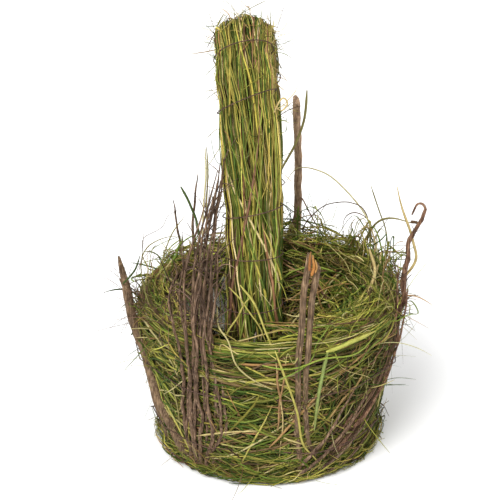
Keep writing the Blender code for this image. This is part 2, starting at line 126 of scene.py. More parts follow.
def handle_line():
    """Centre line of the handle from the front foot over the top to the rear foot."""
    leg_z = np.linspace(HANDLE_FOOT, HANDLE_SPRING, 40)
    turn = np.linspace(0.0, math.pi, 130)[1:-1]
    across = np.sign(np.cos(turn)) * np.abs(np.cos(turn)) ** ARCH_POWERS[0]
    arch_z = HANDLE_SPRING + (HANDLE_TOP - HANDLE_SPRING) * np.sin(turn) ** ARCH_POWERS[1]
    reach = np.concatenate([-leg_reach(leg_z), -HANDLE_HALF_SPAN * across, leg_reach(leg_z)[::-1]])
    z = np.concatenate([leg_z, arch_z, leg_z[::-1]])
    rise = np.clip((z - HANDLE_SPRING) / (HANDLE_TOP - HANDLE_SPRING), 0.0, 1.0)
    x = reach * math.sin(HANDLE_TURN) - HANDLE_SHIFT - HANDLE_LEAN * rise ** LEAN_POWER
    y = reach * math.cos(HANDLE_TURN)
    return np.stack([x, y, z], axis=1)


class Handle:
    """The handle's centre line with a frame at each place along it."""

    def __init__(self):
        line = handle_line()
        self.along = distances(line)
        self.length = self.along[-1]
        tangent = unit(np.gradient(line, self.along, axis=0))
        wide = square_to(np.tile([1.0, 0.0, 0.0], (len(line), 1)), tangent)
        deep = np.cross(tangent, wide)
        self.table = np.concatenate([line, wide, deep, tangent], axis=1)
        self.ties = []

    def at(self, s):
        """Centre, wide, deep and tangent vectors at distances s along the line."""
        rows = [np.interp(s, self.along, self.table[:, k]) for k in range(12)]
        rows = np.stack(rows, axis=-1)
        return rows[..., 0:3], rows[..., 3:6], rows[..., 6:9], rows[..., 9:12]

    def place_of(self, point):
        """Distance along the line of the place nearest to a point."""
        gap = np.linalg.norm(self.table[:, :3] - np.asarray(point), axis=1)
        return self.along[int(gap.argmin())]

    def squeeze(self, s):
        """How much of the full section is left at s: less at the ties and at the feet."""
        left = np.ones_like(s)
        for tie in self.ties:
            left = left - PINCH_DEPTH * np.exp(-((s - tie) / PINCH_SPREAD) ** 2)
        foot = np.clip(1.0 - np.minimum(s, self.length - s) / NARROW_LENGTH, 0.0, 1.0)
        return left - NARROW_FOOT * foot


def unit(v):
    return v / np.maximum(np.linalg.norm(v, axis=-1, keepdims=True), 1e-9)


def distances(line):
    """Distance of each point of a line from its start, measured along the line."""
    step = np.linalg.norm(np.diff(line, axis=0), axis=1)
    return np.concatenate([[0.0], np.cumsum(step)])


def square_to(vectors, tangent):
    """Unit vectors at right angles to a line, close to the given ones."""
    return unit(vectors - tangent * (vectors * tangent).sum(1, keepdims=True))


def polar(radius, theta, z):
    """Points given by radius and angle round the basket's axis, and height."""
    return np.stack([radius * np.cos(theta), radius * np.sin(theta), z], axis=-1)


def catmull(points, count):
    """count points spaced evenly along a smooth curve through a few points."""
    rows = np.asarray(points, float)
    ends = np.concatenate([[2 * rows[0] - rows[1]], rows, [2 * rows[-1] - rows[-2]]])
    steps = 16
    t = (np.arange(steps) / steps)[:, None]
    fine = []
    for a, b, c, d in zip(ends, ends[1:], ends[2:], ends[3:]):
        fine.append(0.5 * (2 * b + (c - a) * t + (2 * a - 5 * b + 4 * c - d) * t ** 2
                           + (3 * b - a - 3 * c + d) * t ** 3))
    fine = np.concatenate(fine + [rows[-1:]])
    along = distances(fine[:, :3])
    wanted = np.linspace(0.0, along[-1], count)
    return np.stack([np.interp(wanted, along, fine[:, k]) for k in range(fine.shape[1])], axis=1)


# ---------------------------------------------------------------- materials

def new_material(name):
    mat = bpy.data.materials.new(name)
    mat.use_nodes = True
    tree = mat.node_tree
    return mat, tree, tree.nodes["Principled BSDF"]


def link(tree, source, output, target, socket):
    tree.links.new(source.outputs[output], target.inputs[socket])


def noise(tree, scale, detail, stretch=(1, 1, 1), coordinate="Object", roughness=0.6):
    """A noise texture in the object's own space or its UV, stretched by axis."""
    place = tree.nodes.new("ShaderNodeTexCoord")
    mapping = tree.nodes.new("ShaderNodeMapping")
    mapping.inputs["Scale"].default_value = stretch
    texture = tree.nodes.new("ShaderNodeTexNoise")
    texture.inputs["Scale"].default_value = scale
    texture.inputs["Detail"].default_value = detail
    texture.inputs["Roughness"].default_value = roughness
    link(tree, place, coordinate, mapping, "Vector")
    link(tree, mapping, "Vector", texture, "Vector")
    return texture


def ramp(tree, source, output, stops):
    node = tree.nodes.new("ShaderNodeValToRGB")
    elements = node.color_ramp.elements
    while len(elements) < len(stops):
        elements.new(0.5)
    for element, (place, color) in zip(elements, stops):
        element.position = place
        element.color = (*color, 1.0)
    link(tree, source, output, node, "Fac")
    return node


def drive(tree, source, shader, socket, stops):
    """Sets one input of the shader from a texture, through a ramp of colours or levels."""
    link(tree, ramp(tree, source, "Fac", stops), "Color", shader, socket)


def levels(*stops):
    """Grey stops for a ramp that sets a plain number."""
    return [(place, (level,) * 3) for place, level in stops]


def multiplied(tree, factor, a, a_out, b, b_out):
    node = tree.nodes.new("ShaderNodeMix")
    node.data_type = "RGBA"
    node.blend_type = "MULTIPLY"
    node.inputs[0].default_value = factor
    tree.links.new(a.outputs[a_out], node.inputs[6])
    tree.links.new(b.outputs[b_out], node.inputs[7])
    return node


def bump(tree, shader, texture, output, strength, distance):
    node = tree.nodes.new("ShaderNodeBump")
    node.inputs["Strength"].default_value = strength
    node.inputs["Distance"].default_value = distance
    link(tree, texture, output, node, "Height")
    link(tree, node, "Normal", shader, "Normal")


def grass_material():
    """Dry grass: each blade's tint (its colour, with painted shade and painted light in some groups), darker
    fibres along it and blotches across it.
    """
    mat, tree, shader = new_material("dry_grass")
    tint = tree.nodes.new("ShaderNodeAttribute")
    tint.attribute_name = "tint"
    fibres = noise(tree, 1.0, 2.0, (55.0, 420.0, 1.0), "UV")
    fibre_tone = ramp(tree, fibres, "Fac", ((0.30, (0.62, 0.60, 0.55)), (0.68, (1.0, 1.0, 1.0))))
    blotches = noise(tree, 160.0, 3.0)
    blotch_tone = ramp(tree, blotches, "Fac", ((0.30, (0.66, 0.62, 0.52)), (0.62, (1.0, 1.0, 1.0))))
    first = multiplied(tree, 1.0, tint, "Color", fibre_tone, "Color")
    second = multiplied(tree, 0.8, first, 2, blotch_tone, "Color")
    tree.links.new(second.outputs[2], shader.inputs["Base Color"])
    drive(tree, fibres, shader, "Roughness", levels((0.3, 0.78), (0.7, 0.5)))
    shader.inputs["Specular IOR Level"].default_value = 0.10
    bump(tree, shader, fibres, "Fac", 0.5, 0.0003)
    return mat


def shade_fill_material():
    """Painted shade: a dark, flecked fill that stands for the shade deep inside a bundle."""
    mat, tree, shader = new_material("painted_shade_fill")
    flecks = noise(tree, 1.0, 4.0, (900.0, 900.0, 260.0))
    drive(tree, flecks, shader, "Base Color", ((0.35, (0.008, 0.008, 0.003)), (0.60, (0.045, 0.042, 0.012)),
                                               (0.78, (0.13, 0.12, 0.035))))
    shader.inputs["Roughness"].default_value = 0.95
    shader.inputs["Specular IOR Level"].default_value = 0.0
    bump(tree, shader, flecks, "Fac", 1.0, 0.0015)
    return mat


def bark_material(name, dark, middle, light):
    """Bark: fine lines along the twig, broad blotches, and a few pale scuffed spots."""
    mat, tree, shader = new_material(name)
    lines = noise(tree, 1.0, 4.0, (900.0, 900.0, 60.0), roughness=0.6)
    tone = ramp(tree, lines, "Fac", ((0.34, dark), (0.52, middle), (0.70, light)))
    patches = noise(tree, 120.0, 4.0)
    patch_tone = ramp(tree, patches, "Fac", ((0.35, (0.50, 0.46, 0.46)), (0.65, (1.20, 1.10, 1.0))))
    color = multiplied(tree, 0.9, tone, "Color", patch_tone, "Color")
    tree.links.new(color.outputs[2], shader.inputs["Base Color"])
    drive(tree, lines, shader, "Roughness", levels((0.3, 0.92), (0.7, 0.62)))
    shader.inputs["Specular IOR Level"].default_value = 0.12
    bump(tree, shader, lines, "Fac", 0.6, 0.0006)
    return mat


def cut_wood_material():
    """The pale orange wood of a cut end, mottled by a fine grain noise."""
    mat, tree, shader = new_material("cut_wood")
    grain = noise(tree, 900.0, 3.0)
    drive(tree, grain, shader, "Base Color", ((0.3, (0.30, 0.13, 0.045)), (0.7, (0.62, 0.33, 0.13))))
    shader.inputs["Roughness"].default_value = 0.85
    bump(tree, shader, grain, "Fac", 0.5, 0.0004)
    return mat


def wire_material(name, dark, light, roughness):
    """Thin iron wire with patches of rust."""
    mat, tree, shader = new_material(name)
    rust = noise(tree, 420.0, 4.0)
    drive(tree, rust, shader, "Base Color", ((0.35, dark), (0.65, light)))
    drive(tree, rust, shader, "Roughness", levels((0.3, roughness), (0.7, roughness * 0.6)))
    shader.inputs["Metallic"].default_value = 0.55
    bump(tree, shader, rust, "Fac", 0.4, 0.0002)
    return mat


def film_material():
    """Clear film: nearly invisible when flat; along its creases it is whiter and more opaque, a painted
    highlight for the glints on its folds.
    """
    mat, tree, shader = new_material("clear_film")
    crease = tree.nodes.new("ShaderNodeAttribute")
    crease.attribute_name = "crease"
    glint_and_scuff_noise = noise(tree, 260.0, 4.0)
    # painted highlight: a whitish colour, varied by this noise, that shows where the creases raise the alpha,
    # standing for the glints on the film's folds; the noise also gives a light bump
    drive(tree, glint_and_scuff_noise, shader, "Base Color", ((0.35, (0.72, 0.71, 0.64)), (0.7, (0.96, 0.95, 0.90))))
    drive(tree, crease, shader, "Alpha", levels((0.0, 0.12), (0.45, 0.28), (0.85, 0.85)))
    shader.inputs["Roughness"].default_value = 0.10
    shader.inputs["Specular IOR Level"].default_value = 1.0
    bump(tree, shader, glint_and_scuff_noise, "Fac", 0.15, 0.0003)
    return mat


# ---------------------------------------------------------------- meshes from arrays

def placed(name, data):
    """A new object in the scene."""
    obj = bpy.data.objects.new(name, data)
    bpy.context.scene.collection.objects.link(obj)
    return obj


def quads_between(lower, upper, sides):
    """Four-cornered faces between rings that start at these vertex numbers."""
    k = np.arange(sides)[None, :]
    following = (k + 1) % sides
    lower, upper = lower[:, None], upper[:, None]
    quads = np.stack([lower + k, lower + following, upper + following, upper + k], axis=-1)
    return quads.reshape(-1, 4)


def mesh_object(name, verts, faces, smooth=True):
    """A mesh object from a vertex array and an array of four-cornered faces."""
    mesh = bpy.data.meshes.new(name)
    mesh.vertices.add(len(verts))
    mesh.vertices.foreach_set("co", np.asarray(verts, np.float32).ravel())
    mesh.loops.add(faces.size)
    mesh.loops.foreach_set("vertex_index", faces.astype(np.int32).ravel())
    mesh.polygons.add(len(faces))
    starts = np.arange(len(faces), dtype=np.int32) * faces.shape[1]
    mesh.polygons.foreach_set("loop_start", starts)
    mesh.update(calc_edges=True)
    mesh.polygons.foreach_set("use_smooth", np.full(len(faces), smooth))
    return placed(name, mesh)


def piece(obj, slot, *materials):
    """Gives a new piece its materials and its place on the one rigid body."""
    obj.data.materials.clear()
    for mat in materials:
        obj.data.materials.append(mat)
    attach(obj, "root")
    return obj


def taper(count, root, shoulder, tip):
    """Width of a blade along its length, as shares of its full width."""
    return np.interp(np.linspace(0, 1, count), [0.0, 0.10, 0.72, 1.0], [root, 1.0, shoulder, tip])


def strand_arrays(paths, outward, widths, flat, profile):
    """Closed four-sided blades: (strands, rings, 4, 3) corners round each path."""
    tangent = unit(np.gradient(paths, axis=1))
    side = unit(np.cross(tangent, outward))
    up = np.cross(side, tangent)
    half = (widths / 2)[:, None, None] * profile[None, :, None]
    corners = [side * half, up * half * flat, -side * half, -up * half * flat]
    return np.stack([paths + c for c in corners], axis=2)


def strand_faces(strands, rings):
    """Faces of many closed blades."""
    ring = np.arange(rings - 1) * 4
    sides = quads_between(ring, ring + 4, 4)
    caps = np.array([[3, 2, 1, 0], (rings - 1) * 4 + np.array([0, 1, 2, 3])])
    one = np.concatenate([sides, caps])
    return (one[None] + (np.arange(strands) * rings * 4)[:, None, None]).reshape(-1, 4)


def strand_uv(strands, rings):
    """Each blade's own strip of the map, so that a baked colour stays on its blade."""
    rows = -(-strands // UV_COLUMNS)
    blade = np.arange(strands)
    left = (blade % UV_COLUMNS) / UV_COLUMNS
    low = (blade // UV_COLUMNS) / rows
    ring = np.arange(rings - 1)
    k = np.arange(4)
    u = np.stack([ring, ring, ring + 1, ring + 1], axis=1)[:, None, :] / (rings - 1)
    u = np.repeat(u, 4, axis=1)
    v = np.stack([k, k + 1, k + 1, k], axis=1)[None, :, :] / 4
    v = np.repeat(v, rings - 1, axis=0)
    cap_u = np.array([[0.0] * 4, [1.0] * 4])
    cap_v = np.array([[0.75, 0.5, 0.25, 0.0], [0.0, 0.25, 0.5, 0.75]])
    u = np.concatenate([u.reshape(-1, 4), cap_u])
    v = np.concatenate([v.reshape(-1, 4), cap_v])
    u = left[:, None, None] + (0.02 + 0.96 * u)[None] / UV_COLUMNS
    v = low[:, None, None] + (0.14 + 0.72 * v)[None] / rows
    return np.stack([u, v], axis=-1).reshape(-1, 2)


def grass_piece(name, paths, outward, widths, tints, slot, flat=0.5, tips=0.35):
    """One piece of up to STRANDS_PER_PIECE blades of grass."""
    strands, rings, _ = paths.shape
    corners = strand_arrays(paths, outward, widths, flat, taper(rings, 0.5, 0.9, 0.3))
    obj = mesh_object(name, corners.reshape(-1, 3), strand_faces(strands, rings))
    layer = obj.data.uv_layers.new(name="OFBake")
    layer.data.foreach_set("uv", strand_uv(strands, rings).astype(np.float32).ravel())
    share = np.linspace(0.0, 1.0, rings)[None, :, None] ** 3 * tips
    color = tints[:, None, :] * (1 - share) + DRY_TIP * share * tints.max(1)[:, None, None] * TIP_GAIN
    color = np.repeat(color[:, :, None, :], 4, axis=2).reshape(-1, 3)
    rgba = np.concatenate([color, np.ones((len(color), 1))], axis=1)
    attribute = obj.data.color_attributes.new("tint", "FLOAT_COLOR", "POINT")
    attribute.data.foreach_set("color", rgba.astype(np.float32).ravel())
    return piece(obj, slot, GRASS)


def grass(name, paths, outward, widths, tints, slot, replaces=(), **options):
    """Splits many blades into pieces and lets the first stand for the CAD nodes."""
    pieces = -(-len(paths) // STRANDS_PER_PIECE)
    for number, part in enumerate(np.array_split(np.arange(len(paths)), pieces), 1):
        obj = grass_piece(f"{name}_{number}", paths[part], outward[part], widths[part],
                          tints[part], slot, **options)
        if number == 1 and replaces:
            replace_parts(obj, *replaces)


def tints_for(rng, count, palette=GREENS, spread=0.22, bias=1.0):
    """A colour for each blade, drawn from the palette and varied in brightness."""
    colors = np.array([color for color, _ in palette])
    weights = np.array([weight for _, weight in palette], float)
    chosen = colors[rng.choice(len(colors), count, p=weights / weights.sum())]
    tone = np.exp(spread * np.clip(rng.normal(0.0, 1.0, (count, 1)), -1.7, 1.5))
    hue = 1.0 + rng.normal(0.0, 0.06, (count, 3))
    tints = chosen * tone * hue * bias
    tints[:, 1] = np.minimum(tints[:, 1], 1.15 * tints[:, 0] + 0.05)
    return np.clip(tints, 0.004, BRIGHTEST)


def bark_tints(rng, count, color, spread):
    """Browns for rootlets and thin shoots, varied in brightness."""
    return np.clip(np.array(color) * np.exp(rng.normal(0, spread, (count, 1))), 0.01, 0.8)


def any_way(rng, count, rings):
    """A random facing for each blade."""
    return unit(rng.normal(0, 1, (count, 1, 3)) + np.zeros((count, rings, 3)))


# ---------------------------------------------------------------- grass on the body

def wander(rng, count, rings, waves, size):
    """Slow sideways drift along each blade."""
    t = np.linspace(0.0, 1.0, rings)[None, :]
    total = np.zeros((count, rings))
    for wave in waves:
        phase = rng.uniform(0, 2 * math.pi, (count, 1))
        total += rng.normal(0.0, size, (count, 1)) * np.sin(2 * math.pi * wave * t + phase)
    return total


def laid_on_side(rng, angle, height, heading, length, offset, rings, bend, low, high, loops=0.10):
    """Blades that lie on the body's side: paths and outward directions.

    angle and height are the middle of each blade, heading its slope there, bend how much
    the slope changes along it, offset its distance from the wall's face, and loops how
    much it winds.
    """
    count = len(angle)
    t = np.linspace(-0.5, 0.5, rings)[None, :]
    slope = heading[:, None] + bend[:, None] * t + wander(rng, count, rings, (1.0, 2.3), loops)
    step = (length / (rings - 1))[:, None]
    rise = np.cumsum(np.sin(slope) * step, axis=1)
    z = height[:, None] + rise - rise[:, rings // 2][:, None]
    middle, half = (low + high) / 2, (high - low) / 2
    z = middle + half * np.tanh((z - middle) / half * 1.05)
    run = np.cumsum(np.cos(slope) * step / side_radius(z), axis=1)
    theta = angle[:, None] + run - run[:, rings // 2][:, None]
    lift = np.abs(rng.normal(0.0, 1.0, (count, 2))) * (rng.random((count, 2)) < 0.30)
    ends = lift[:, :1] * np.clip(-2 * t, 0, 1) ** 4 + lift[:, 1:] * np.clip(2 * t, 0, 1) ** 4
    off = offset[:, None] + wander(rng, count, rings, (1.5, 3.1), 0.0009) + 0.0045 * ends
    radius = side_radius(z) + off
    outward = polar(1.0, theta, np.full_like(theta, 0.15))
    return polar(radius, theta, z), unit(outward + rng.normal(0.0, 0.35, (count, 1, 3)))


def front_sides(angle):
    """How far into the front's left and right sides each angle lies, from 0 to 1."""
    degrees = np.degrees(angle)
    left = np.clip((-118.0 - degrees) / 25.0, 0.0, 1.0) * (degrees < 0)
    right = np.clip((degrees + 78.0) / 40.0, 0.0, 1.0) * (degrees < 0)
    return left, right


def front_slope(angle, height, rng):
    """Slope of the grass by place: level between the front twigs, falling away at the left
    and climbing at the right, and more tangled low down and at the back."""
    left, right = front_sides(angle)
    mean = -0.80 * left + 0.30 * right
    low = np.clip((0.098 - height) / 0.045, 0.0, 1.0)
    tangle = 0.32 + 0.62 * low + 0.20 * left + 0.50 * right + 0.45 * (angle > 0)
    return mean + rng.normal(0.0, 1.0, len(angle)) * tangle


def tufts_on_side(rng, count, size, top):
    """Middles and slopes of blades that lie in tufts: angle, height and heading."""
    tufts = max(1, count // size)
    tuft = rng.integers(0, tufts, count)
    angle = rng.uniform(-math.pi, math.pi, tufts)
    height = rng.uniform(0.0, top, tufts)
    heading = front_slope(angle, height, rng)
    return (angle[tuft] + rng.normal(0.0, 0.12, count), height[tuft] + rng.normal(0.0, 0.012, count),
            heading[tuft] + rng.normal(0.0, 0.20, count))


def wall_grass():
    """The outer wall, thick with blades laid round it: deep ones darkened as painted shade, darker again at
    the front's right side and a little at its left, and bright ones on top.
    """
    rng = np.random.default_rng(11)
    count = 3900
    angle, height, heading = tufts_on_side(rng, count, 4, BODY_HEIGHT + 0.004)
    length = rng.uniform(0.05, 0.22, count)
    depth = rng.random(count) ** 0.75
    offset = -0.0080 + 0.0118 * depth
    bend = rng.normal(0.0, 0.8, count)
    bright = rng.random(count) < 0.10
    offset = np.where(bright, 0.0048, offset)
    widths = np.where(bright, rng.uniform(0.0014, 0.0027, count), 0.0007 + 0.0021 * rng.random(count) ** 1.6)
    at_left, at_right = front_sides(angle)
    # painted shade: deep blades are darkened for the shade between the layers, and blades at the front's
    # right side, and less at its left, are darkened for the side the light misses; the bright top blades keep
    # nearly their full colour
    shade = np.where(bright, 0.92, 0.01 + 0.74 * depth ** 3.0) * (1.0 - 0.30 * at_right - 0.12 * at_left)
    tints = tints_for(rng, count, spread=0.33) * shade[:, None]
    paths, outward = laid_on_side(rng, angle, height, heading, length, offset, 14, bend,
                                  0.0015, BODY_HEIGHT + 0.0005, loops=0.11)
    grass("wall_grass", paths, outward, widths, tints, "outer_grass", ("grass_wall",))


def wall_curls():
    """Long thin stems that wind over the outside of the wall, standing off it in places."""
    rng = np.random.default_rng(17)
    count, rings = 420, 34
    angle = rng.uniform(-math.pi, math.pi, count)
    height = rng.uniform(0.0, BODY_HEIGHT, count)
    heading = rng.uniform(-1.6, 1.6, count)
    length = rng.uniform(0.07, 0.24, count)
    offset = 0.0015 + 0.0040 * rng.random(count) ** 2
    bend = rng.normal(0.0, 2.0, count)
    paths, outward = laid_on_side(rng, angle, height, heading, length, offset, rings, bend,
                                  0.0020, BODY_HEIGHT + 0.004, loops=0.35)
    widths = rng.uniform(0.0004, 0.0011, count)
    grass("wall_curls", paths, outward, widths, tints_for(rng, count, spread=0.35, bias=0.8), "outer_grass")


def rim_heap():
    """Loose grass heaped over the rim, thickest at the right, so that no edge shows there."""
    rng = np.random.default_rng(20)
    count, rings = 900, 20
    spread = rng.random(count)
    angle = np.where(spread < 0.68, rng.uniform(-1.25, 1.5, count),
                     np.where(spread < 0.90, rng.uniform(2.3, 4.0, count), rng.uniform(1.5, 2.4, count)))
    height = BODY_HEIGHT + rng.normal(-0.003, 0.009, count)
    heading = rng.uniform(-1.0, 1.0, count)
    length = rng.uniform(0.04, 0.17, count)
    offset = -0.010 + rng.normal(0.0, 0.009, count)
    paths, outward = laid_on_side(rng, angle, height, heading, length, offset, rings,
                                  rng.normal(0.0, 1.3, count), 0.120, BODY_HEIGHT + 0.020, loops=0.20)
    drift = rng.normal(0.0, 0.10, (count, 1)) * (np.linspace(-0.5, 0.5, rings)[None, :])
    paths[..., :2] *= (1 + drift)[..., None]
    bright = rng.random(count) < 0.16
    widths = np.where(bright, rng.uniform(0.0012, 0.0024, count), rng.uniform(0.0006, 0.0018, count))
    tints = tints_for(rng, count, spread=0.4) * np.where(bright, 1.7, 1.15)[:, None]
    grass("rim_heap", kept_inside(paths), outward, widths, tints, "outer_grass")


def rim_arches():
    """Long stems that spring over the rim at the right and the back in wide, loose arcs."""
    rng = np.random.default_rng(23)
    count, rings = 75, 26
    t = np.linspace(0.0, 1.0, rings)[None, :]
    middle = rng.uniform(-0.35, 1.75, count)[:, None]
    span = rng.normal(0.0, 0.65, count)[:, None]
    theta = middle + span * (t - 0.5) + wander(rng, count, rings, (0.7, 1.3), 0.04)
    rise = rng.uniform(0.012, 0.062, count)[:, None]
    peak = rng.uniform(0.55, 1.9, count)[:, None]
    arc = np.sin(math.pi * t ** peak) ** rng.uniform(0.7, 1.2, count)[:, None]
    radius = RIM_RADIUS - rng.uniform(0.002, 0.026, count)[:, None] * (1 - 0.6 * t)
    radius = radius + wander(rng, count, rings, (0.8, 1.6), 0.003)
    z = BODY_HEIGHT - 0.006 + rise * arc
    paths = kept_inside(polar(radius, theta, z))
    outward = any_way(rng, count, rings)
    widths = rng.uniform(0.0008, 0.0021, count)
    grass("rim_arches", paths, outward, widths, tints_for(rng, count, spread=0.35, bias=1.1), "outer_grass")


def level_ways(theta):
    """Level directions at angles round the basket: away from its axis, and round it."""
    level = np.zeros(len(theta))
    return polar(1.0, theta, level), np.stack([-np.sin(theta), np.cos(theta), level], axis=1)


def springing():
    """Straight ends that stick up out of the rim, leaning every way, most at the right."""
    rng = np.random.default_rng(24)
    count, rings = 150, 16
    at_right = rng.random(count) < 0.52
    theta = np.where(at_right, rng.uniform(-0.5, 1.7, count), rng.uniform(2.2, 3.9, count))
    radius = RIM_RADIUS - rng.uniform(0.0, 0.024, count)
    starts = polar(radius, theta, np.full(count, BODY_HEIGHT - 0.004))
    outwards, around = level_ways(theta)
    directions = (around * rng.normal(0, 1.1, (count, 1)) + outwards * rng.normal(0.1, 0.4, (count, 1))
                  + np.array([0, 0, 1.0]) * rng.uniform(0.2, 1.3, (count, 1)))
    lengths = rng.uniform(0.018, 0.085, count) * np.where(at_right, 1.0, 0.55)
    paths = kept_inside(grown(rng, starts, directions, lengths, rings, 1.4, 0.7))
    widths = rng.uniform(0.0006, 0.0018, count)
    outward = any_way(rng, count, rings)
    grass("rim_ends", paths, outward, widths, tints_for(rng, count, spread=0.35, bias=0.95), "outer_grass")


def left_hairs():
    """Fine brown rootlets that curl up from the rim at the left."""
    rng = np.random.default_rng(25)
    count, rings = 90, 22
    theta = np.radians(rng.uniform(-175, -128, count))
    radius = RIM_RADIUS - rng.uniform(0.0, 0.012, count)
    starts = polar(radius, theta, np.full(count, BODY_HEIGHT))
    directions = np.stack([rng.normal(0.1, 0.6, count), rng.normal(0, 0.5, count),
                           rng.uniform(0.3, 1.3, count)], axis=1)
    paths = kept_inside(grown(rng, starts, directions, rng.uniform(0.025, 0.085, count), rings, 2.4, 0.5))
    widths = rng.uniform(0.0004, 0.0008, count)
    outward = any_way(rng, count, rings)
    tints = bark_tints(rng, count, (0.16, 0.095, 0.065), 0.4)
    grass("left_hairs", paths, outward, widths, tints, "bark", flat=0.9, tips=0.0)


def skirt():
    """Loose ends round the foot of the wall, just off the floor."""
    rng = np.random.default_rng(19)
    count, rings = 950, 14
    angle = rng.uniform(-math.pi, math.pi, count)
    height = 0.0015 + 0.016 * rng.random(count) ** 2.2
    heading = rng.normal(0.0, 0.45, count)
    length = rng.uniform(0.025, 0.11, count)
    offset = 0.0005 + 0.0155 * rng.random(count) ** 0.9 * np.clip(1.3 - height / 0.014, 0.3, 1.0)
    paths, outward = laid_on_side(rng, angle, height, heading, length, offset, rings,
                                  rng.normal(0.0, 1.5, count), 0.0012, 0.030, loops=0.30)
    widths = rng.uniform(0.0006, 0.0018, count)
    tints = tints_for(rng, count, spread=0.35, bias=0.85)
    grass("skirt", paths, outward, widths, tints, "outer_grass")


def core(name, rows, slot):
    """A dark band of painted shade under the blades, closed and turned round the basket's axis."""
    around = 72
    theta = np.linspace(0, 2 * math.pi, around, endpoint=False)
    verts = np.concatenate([polar(r, theta, np.full(around, z)) for r, z in rows])
    ring = np.arange(len(rows)) * around
    piece(mesh_object(name, verts, quads_between(ring, np.roll(ring, -1), around)), slot, SHADE_FILL)


def wall_core():
    outer = [(side_radius(z) - 0.0085, z) for z in np.linspace(0.006, BODY_HEIGHT - 0.006, 9)]
    inner = [(side_radius(z) - 0.0140, z) for z in np.linspace(BODY_HEIGHT - 0.006, 0.006, 9)]
    core("wall_core", outer + inner, "outer_grass")


def inner_shag():
    """Grass that hangs over the rim into the bowl, thick at the right and the back."""
    rng = np.random.default_rng(18)
    count, rings = 1300, 18
    side = rng.random(count)
    angle = np.where(side < 0.62, rng.uniform(-0.95, 1.35, count),
                     np.where(side < 0.80, rng.uniform(1.2, 3.5, count), rng.uniform(-2.7, -1.0, count)))
    deep = np.where(side < 0.62, 0.080, np.where(side < 0.80, 0.024, 0.016))
    height = BODY_HEIGHT + 0.002 - deep * rng.random(count) ** 1.2
    heading = rng.normal(0.0, 0.75, count)
    length = rng.uniform(0.05, 0.20, count)
    inset = np.where(side < 0.62, 0.015, 0.008) * rng.random(count)
    depth = inset / 0.015
    paths, outward = laid_on_side(rng, angle, height, heading, length, -0.0225 - inset, rings,
                                  rng.normal(0.0, 1.1, count), 0.045, BODY_HEIGHT + 0.003, loops=0.10)
    widths = rng.uniform(0.0007, 0.0022, count)
    bright = rng.random(count) < 0.14
    widths = np.where(bright, rng.uniform(0.0012, 0.0026, count), widths)
    # painted light and shade: blades close to the wall are darkened for the shade there, blades further in
    # are lighter, and the bright ones are lighter still
    shade = np.where(bright, 1.9, 0.08 + 1.55 * depth ** 1.9)
    tints = tints_for(rng, count, spread=0.38) * shade[:, None]
    grass("inner_shag", paths, -outward, widths, tints, "lining_grass")


def lining_grass():
    """Grass on the inside face, behind the film."""
    rng = np.random.default_rng(12)
    count = 900
    angle = rng.uniform(-math.pi, math.pi, count)
    height = rng.uniform(0.015, BODY_HEIGHT, count)
    heading = rng.normal(0.0, 0.45, count)
    length = rng.uniform(0.08, 0.24, count)
    offset = -LINING_FACE + rng.uniform(0.0006, 0.0055, count)
    bend = rng.normal(0.0, 0.6, count)
    widths = rng.uniform(0.0011, 0.0024, count)
    tints = tints_for(rng, count, bias=0.85)
    paths, outward = laid_on_side(rng, angle, height, heading, length, offset, 14, bend,
                                  0.014, BODY_HEIGHT - 0.001)
    grass("lining_grass", paths, -outward, widths, tints, "lining_grass", ("grass_lining",))


def base_grass():
    """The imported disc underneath: blades lying across it and round its edge."""
    rng = np.random.default_rng(13)
    count, rings = 420, 10
    t = np.linspace(-0.5, 0.5, rings)[None, :]
    heading = rng.uniform(0, 2 * math.pi, count)[:, None] + rng.normal(0, 0.5, (count, 1)) * t
    length = rng.uniform(0.06, 0.17, count)[:, None]
    start = rng.uniform(0, 2 * math.pi, count)
    reach = (BASE_RADIUS - 0.012) * np.sqrt(rng.random(count))
    x = reach[:, None] * np.cos(start)[:, None] + np.cos(heading) * length * t
    y = reach[:, None] * np.sin(start)[:, None] + np.sin(heading) * length * t
    far = np.sqrt(x * x + y * y) + 1e-9
    limit = BASE_RADIUS - 0.007
    keep = limit * np.tanh(far / limit) / far
    z = np.repeat(rng.uniform(0.0012, 0.0120, (count, 1)), rings, axis=1)
    z = np.clip(z + wander(rng, count, rings, (1.0,), 0.0005), 0.0012, 0.0125)
    paths = np.stack([x * keep, y * keep, z], axis=2)
    outward = np.tile([0.0, 0.0, 1.0], (count, rings, 1)) + rng.normal(0, 0.2, (count, 1, 3))
    widths = rng.uniform(0.0012, 0.0023, count)
    grass("base_grass", paths, unit(outward), widths, tints_for(rng, count, bias=0.6),
          "outer_grass", ("grass_base",))


def rim_grass():
    """The rim's roll: blades that run round it and spiral over it."""
    rng = np.random.default_rng(14)
    count, rings = 620, 22
    t = np.linspace(-0.5, 0.5, rings)[None, :]
    length = rng.uniform(0.10, 0.34, count)[:, None]
    theta = rng.uniform(-math.pi, math.pi, (count, 1)) + length * t / (RIM_RADIUS - 0.006)
    turn = rng.uniform(-0.6, math.pi + 0.9, (count, 1)) + rng.normal(0, 1.1, (count, 1)) * t
    small = 0.0035 + 0.0045 * rng.random((count, 1)) ** 0.7
    small = small + wander(rng, count, rings, (1.3, 2.7), 0.0010)
    radius = RIM_RADIUS - 0.0075 + small * np.cos(turn)
    z = BODY_HEIGHT - 0.0045 + small * np.sin(turn)
    paths = polar(radius, theta, z)
    outward = polar(np.cos(turn), theta, np.sin(turn))
    widths = rng.uniform(0.0010, 0.0022, count)
    grass("rim_grass", paths, unit(outward), widths, tints_for(rng, count), "outer_grass")


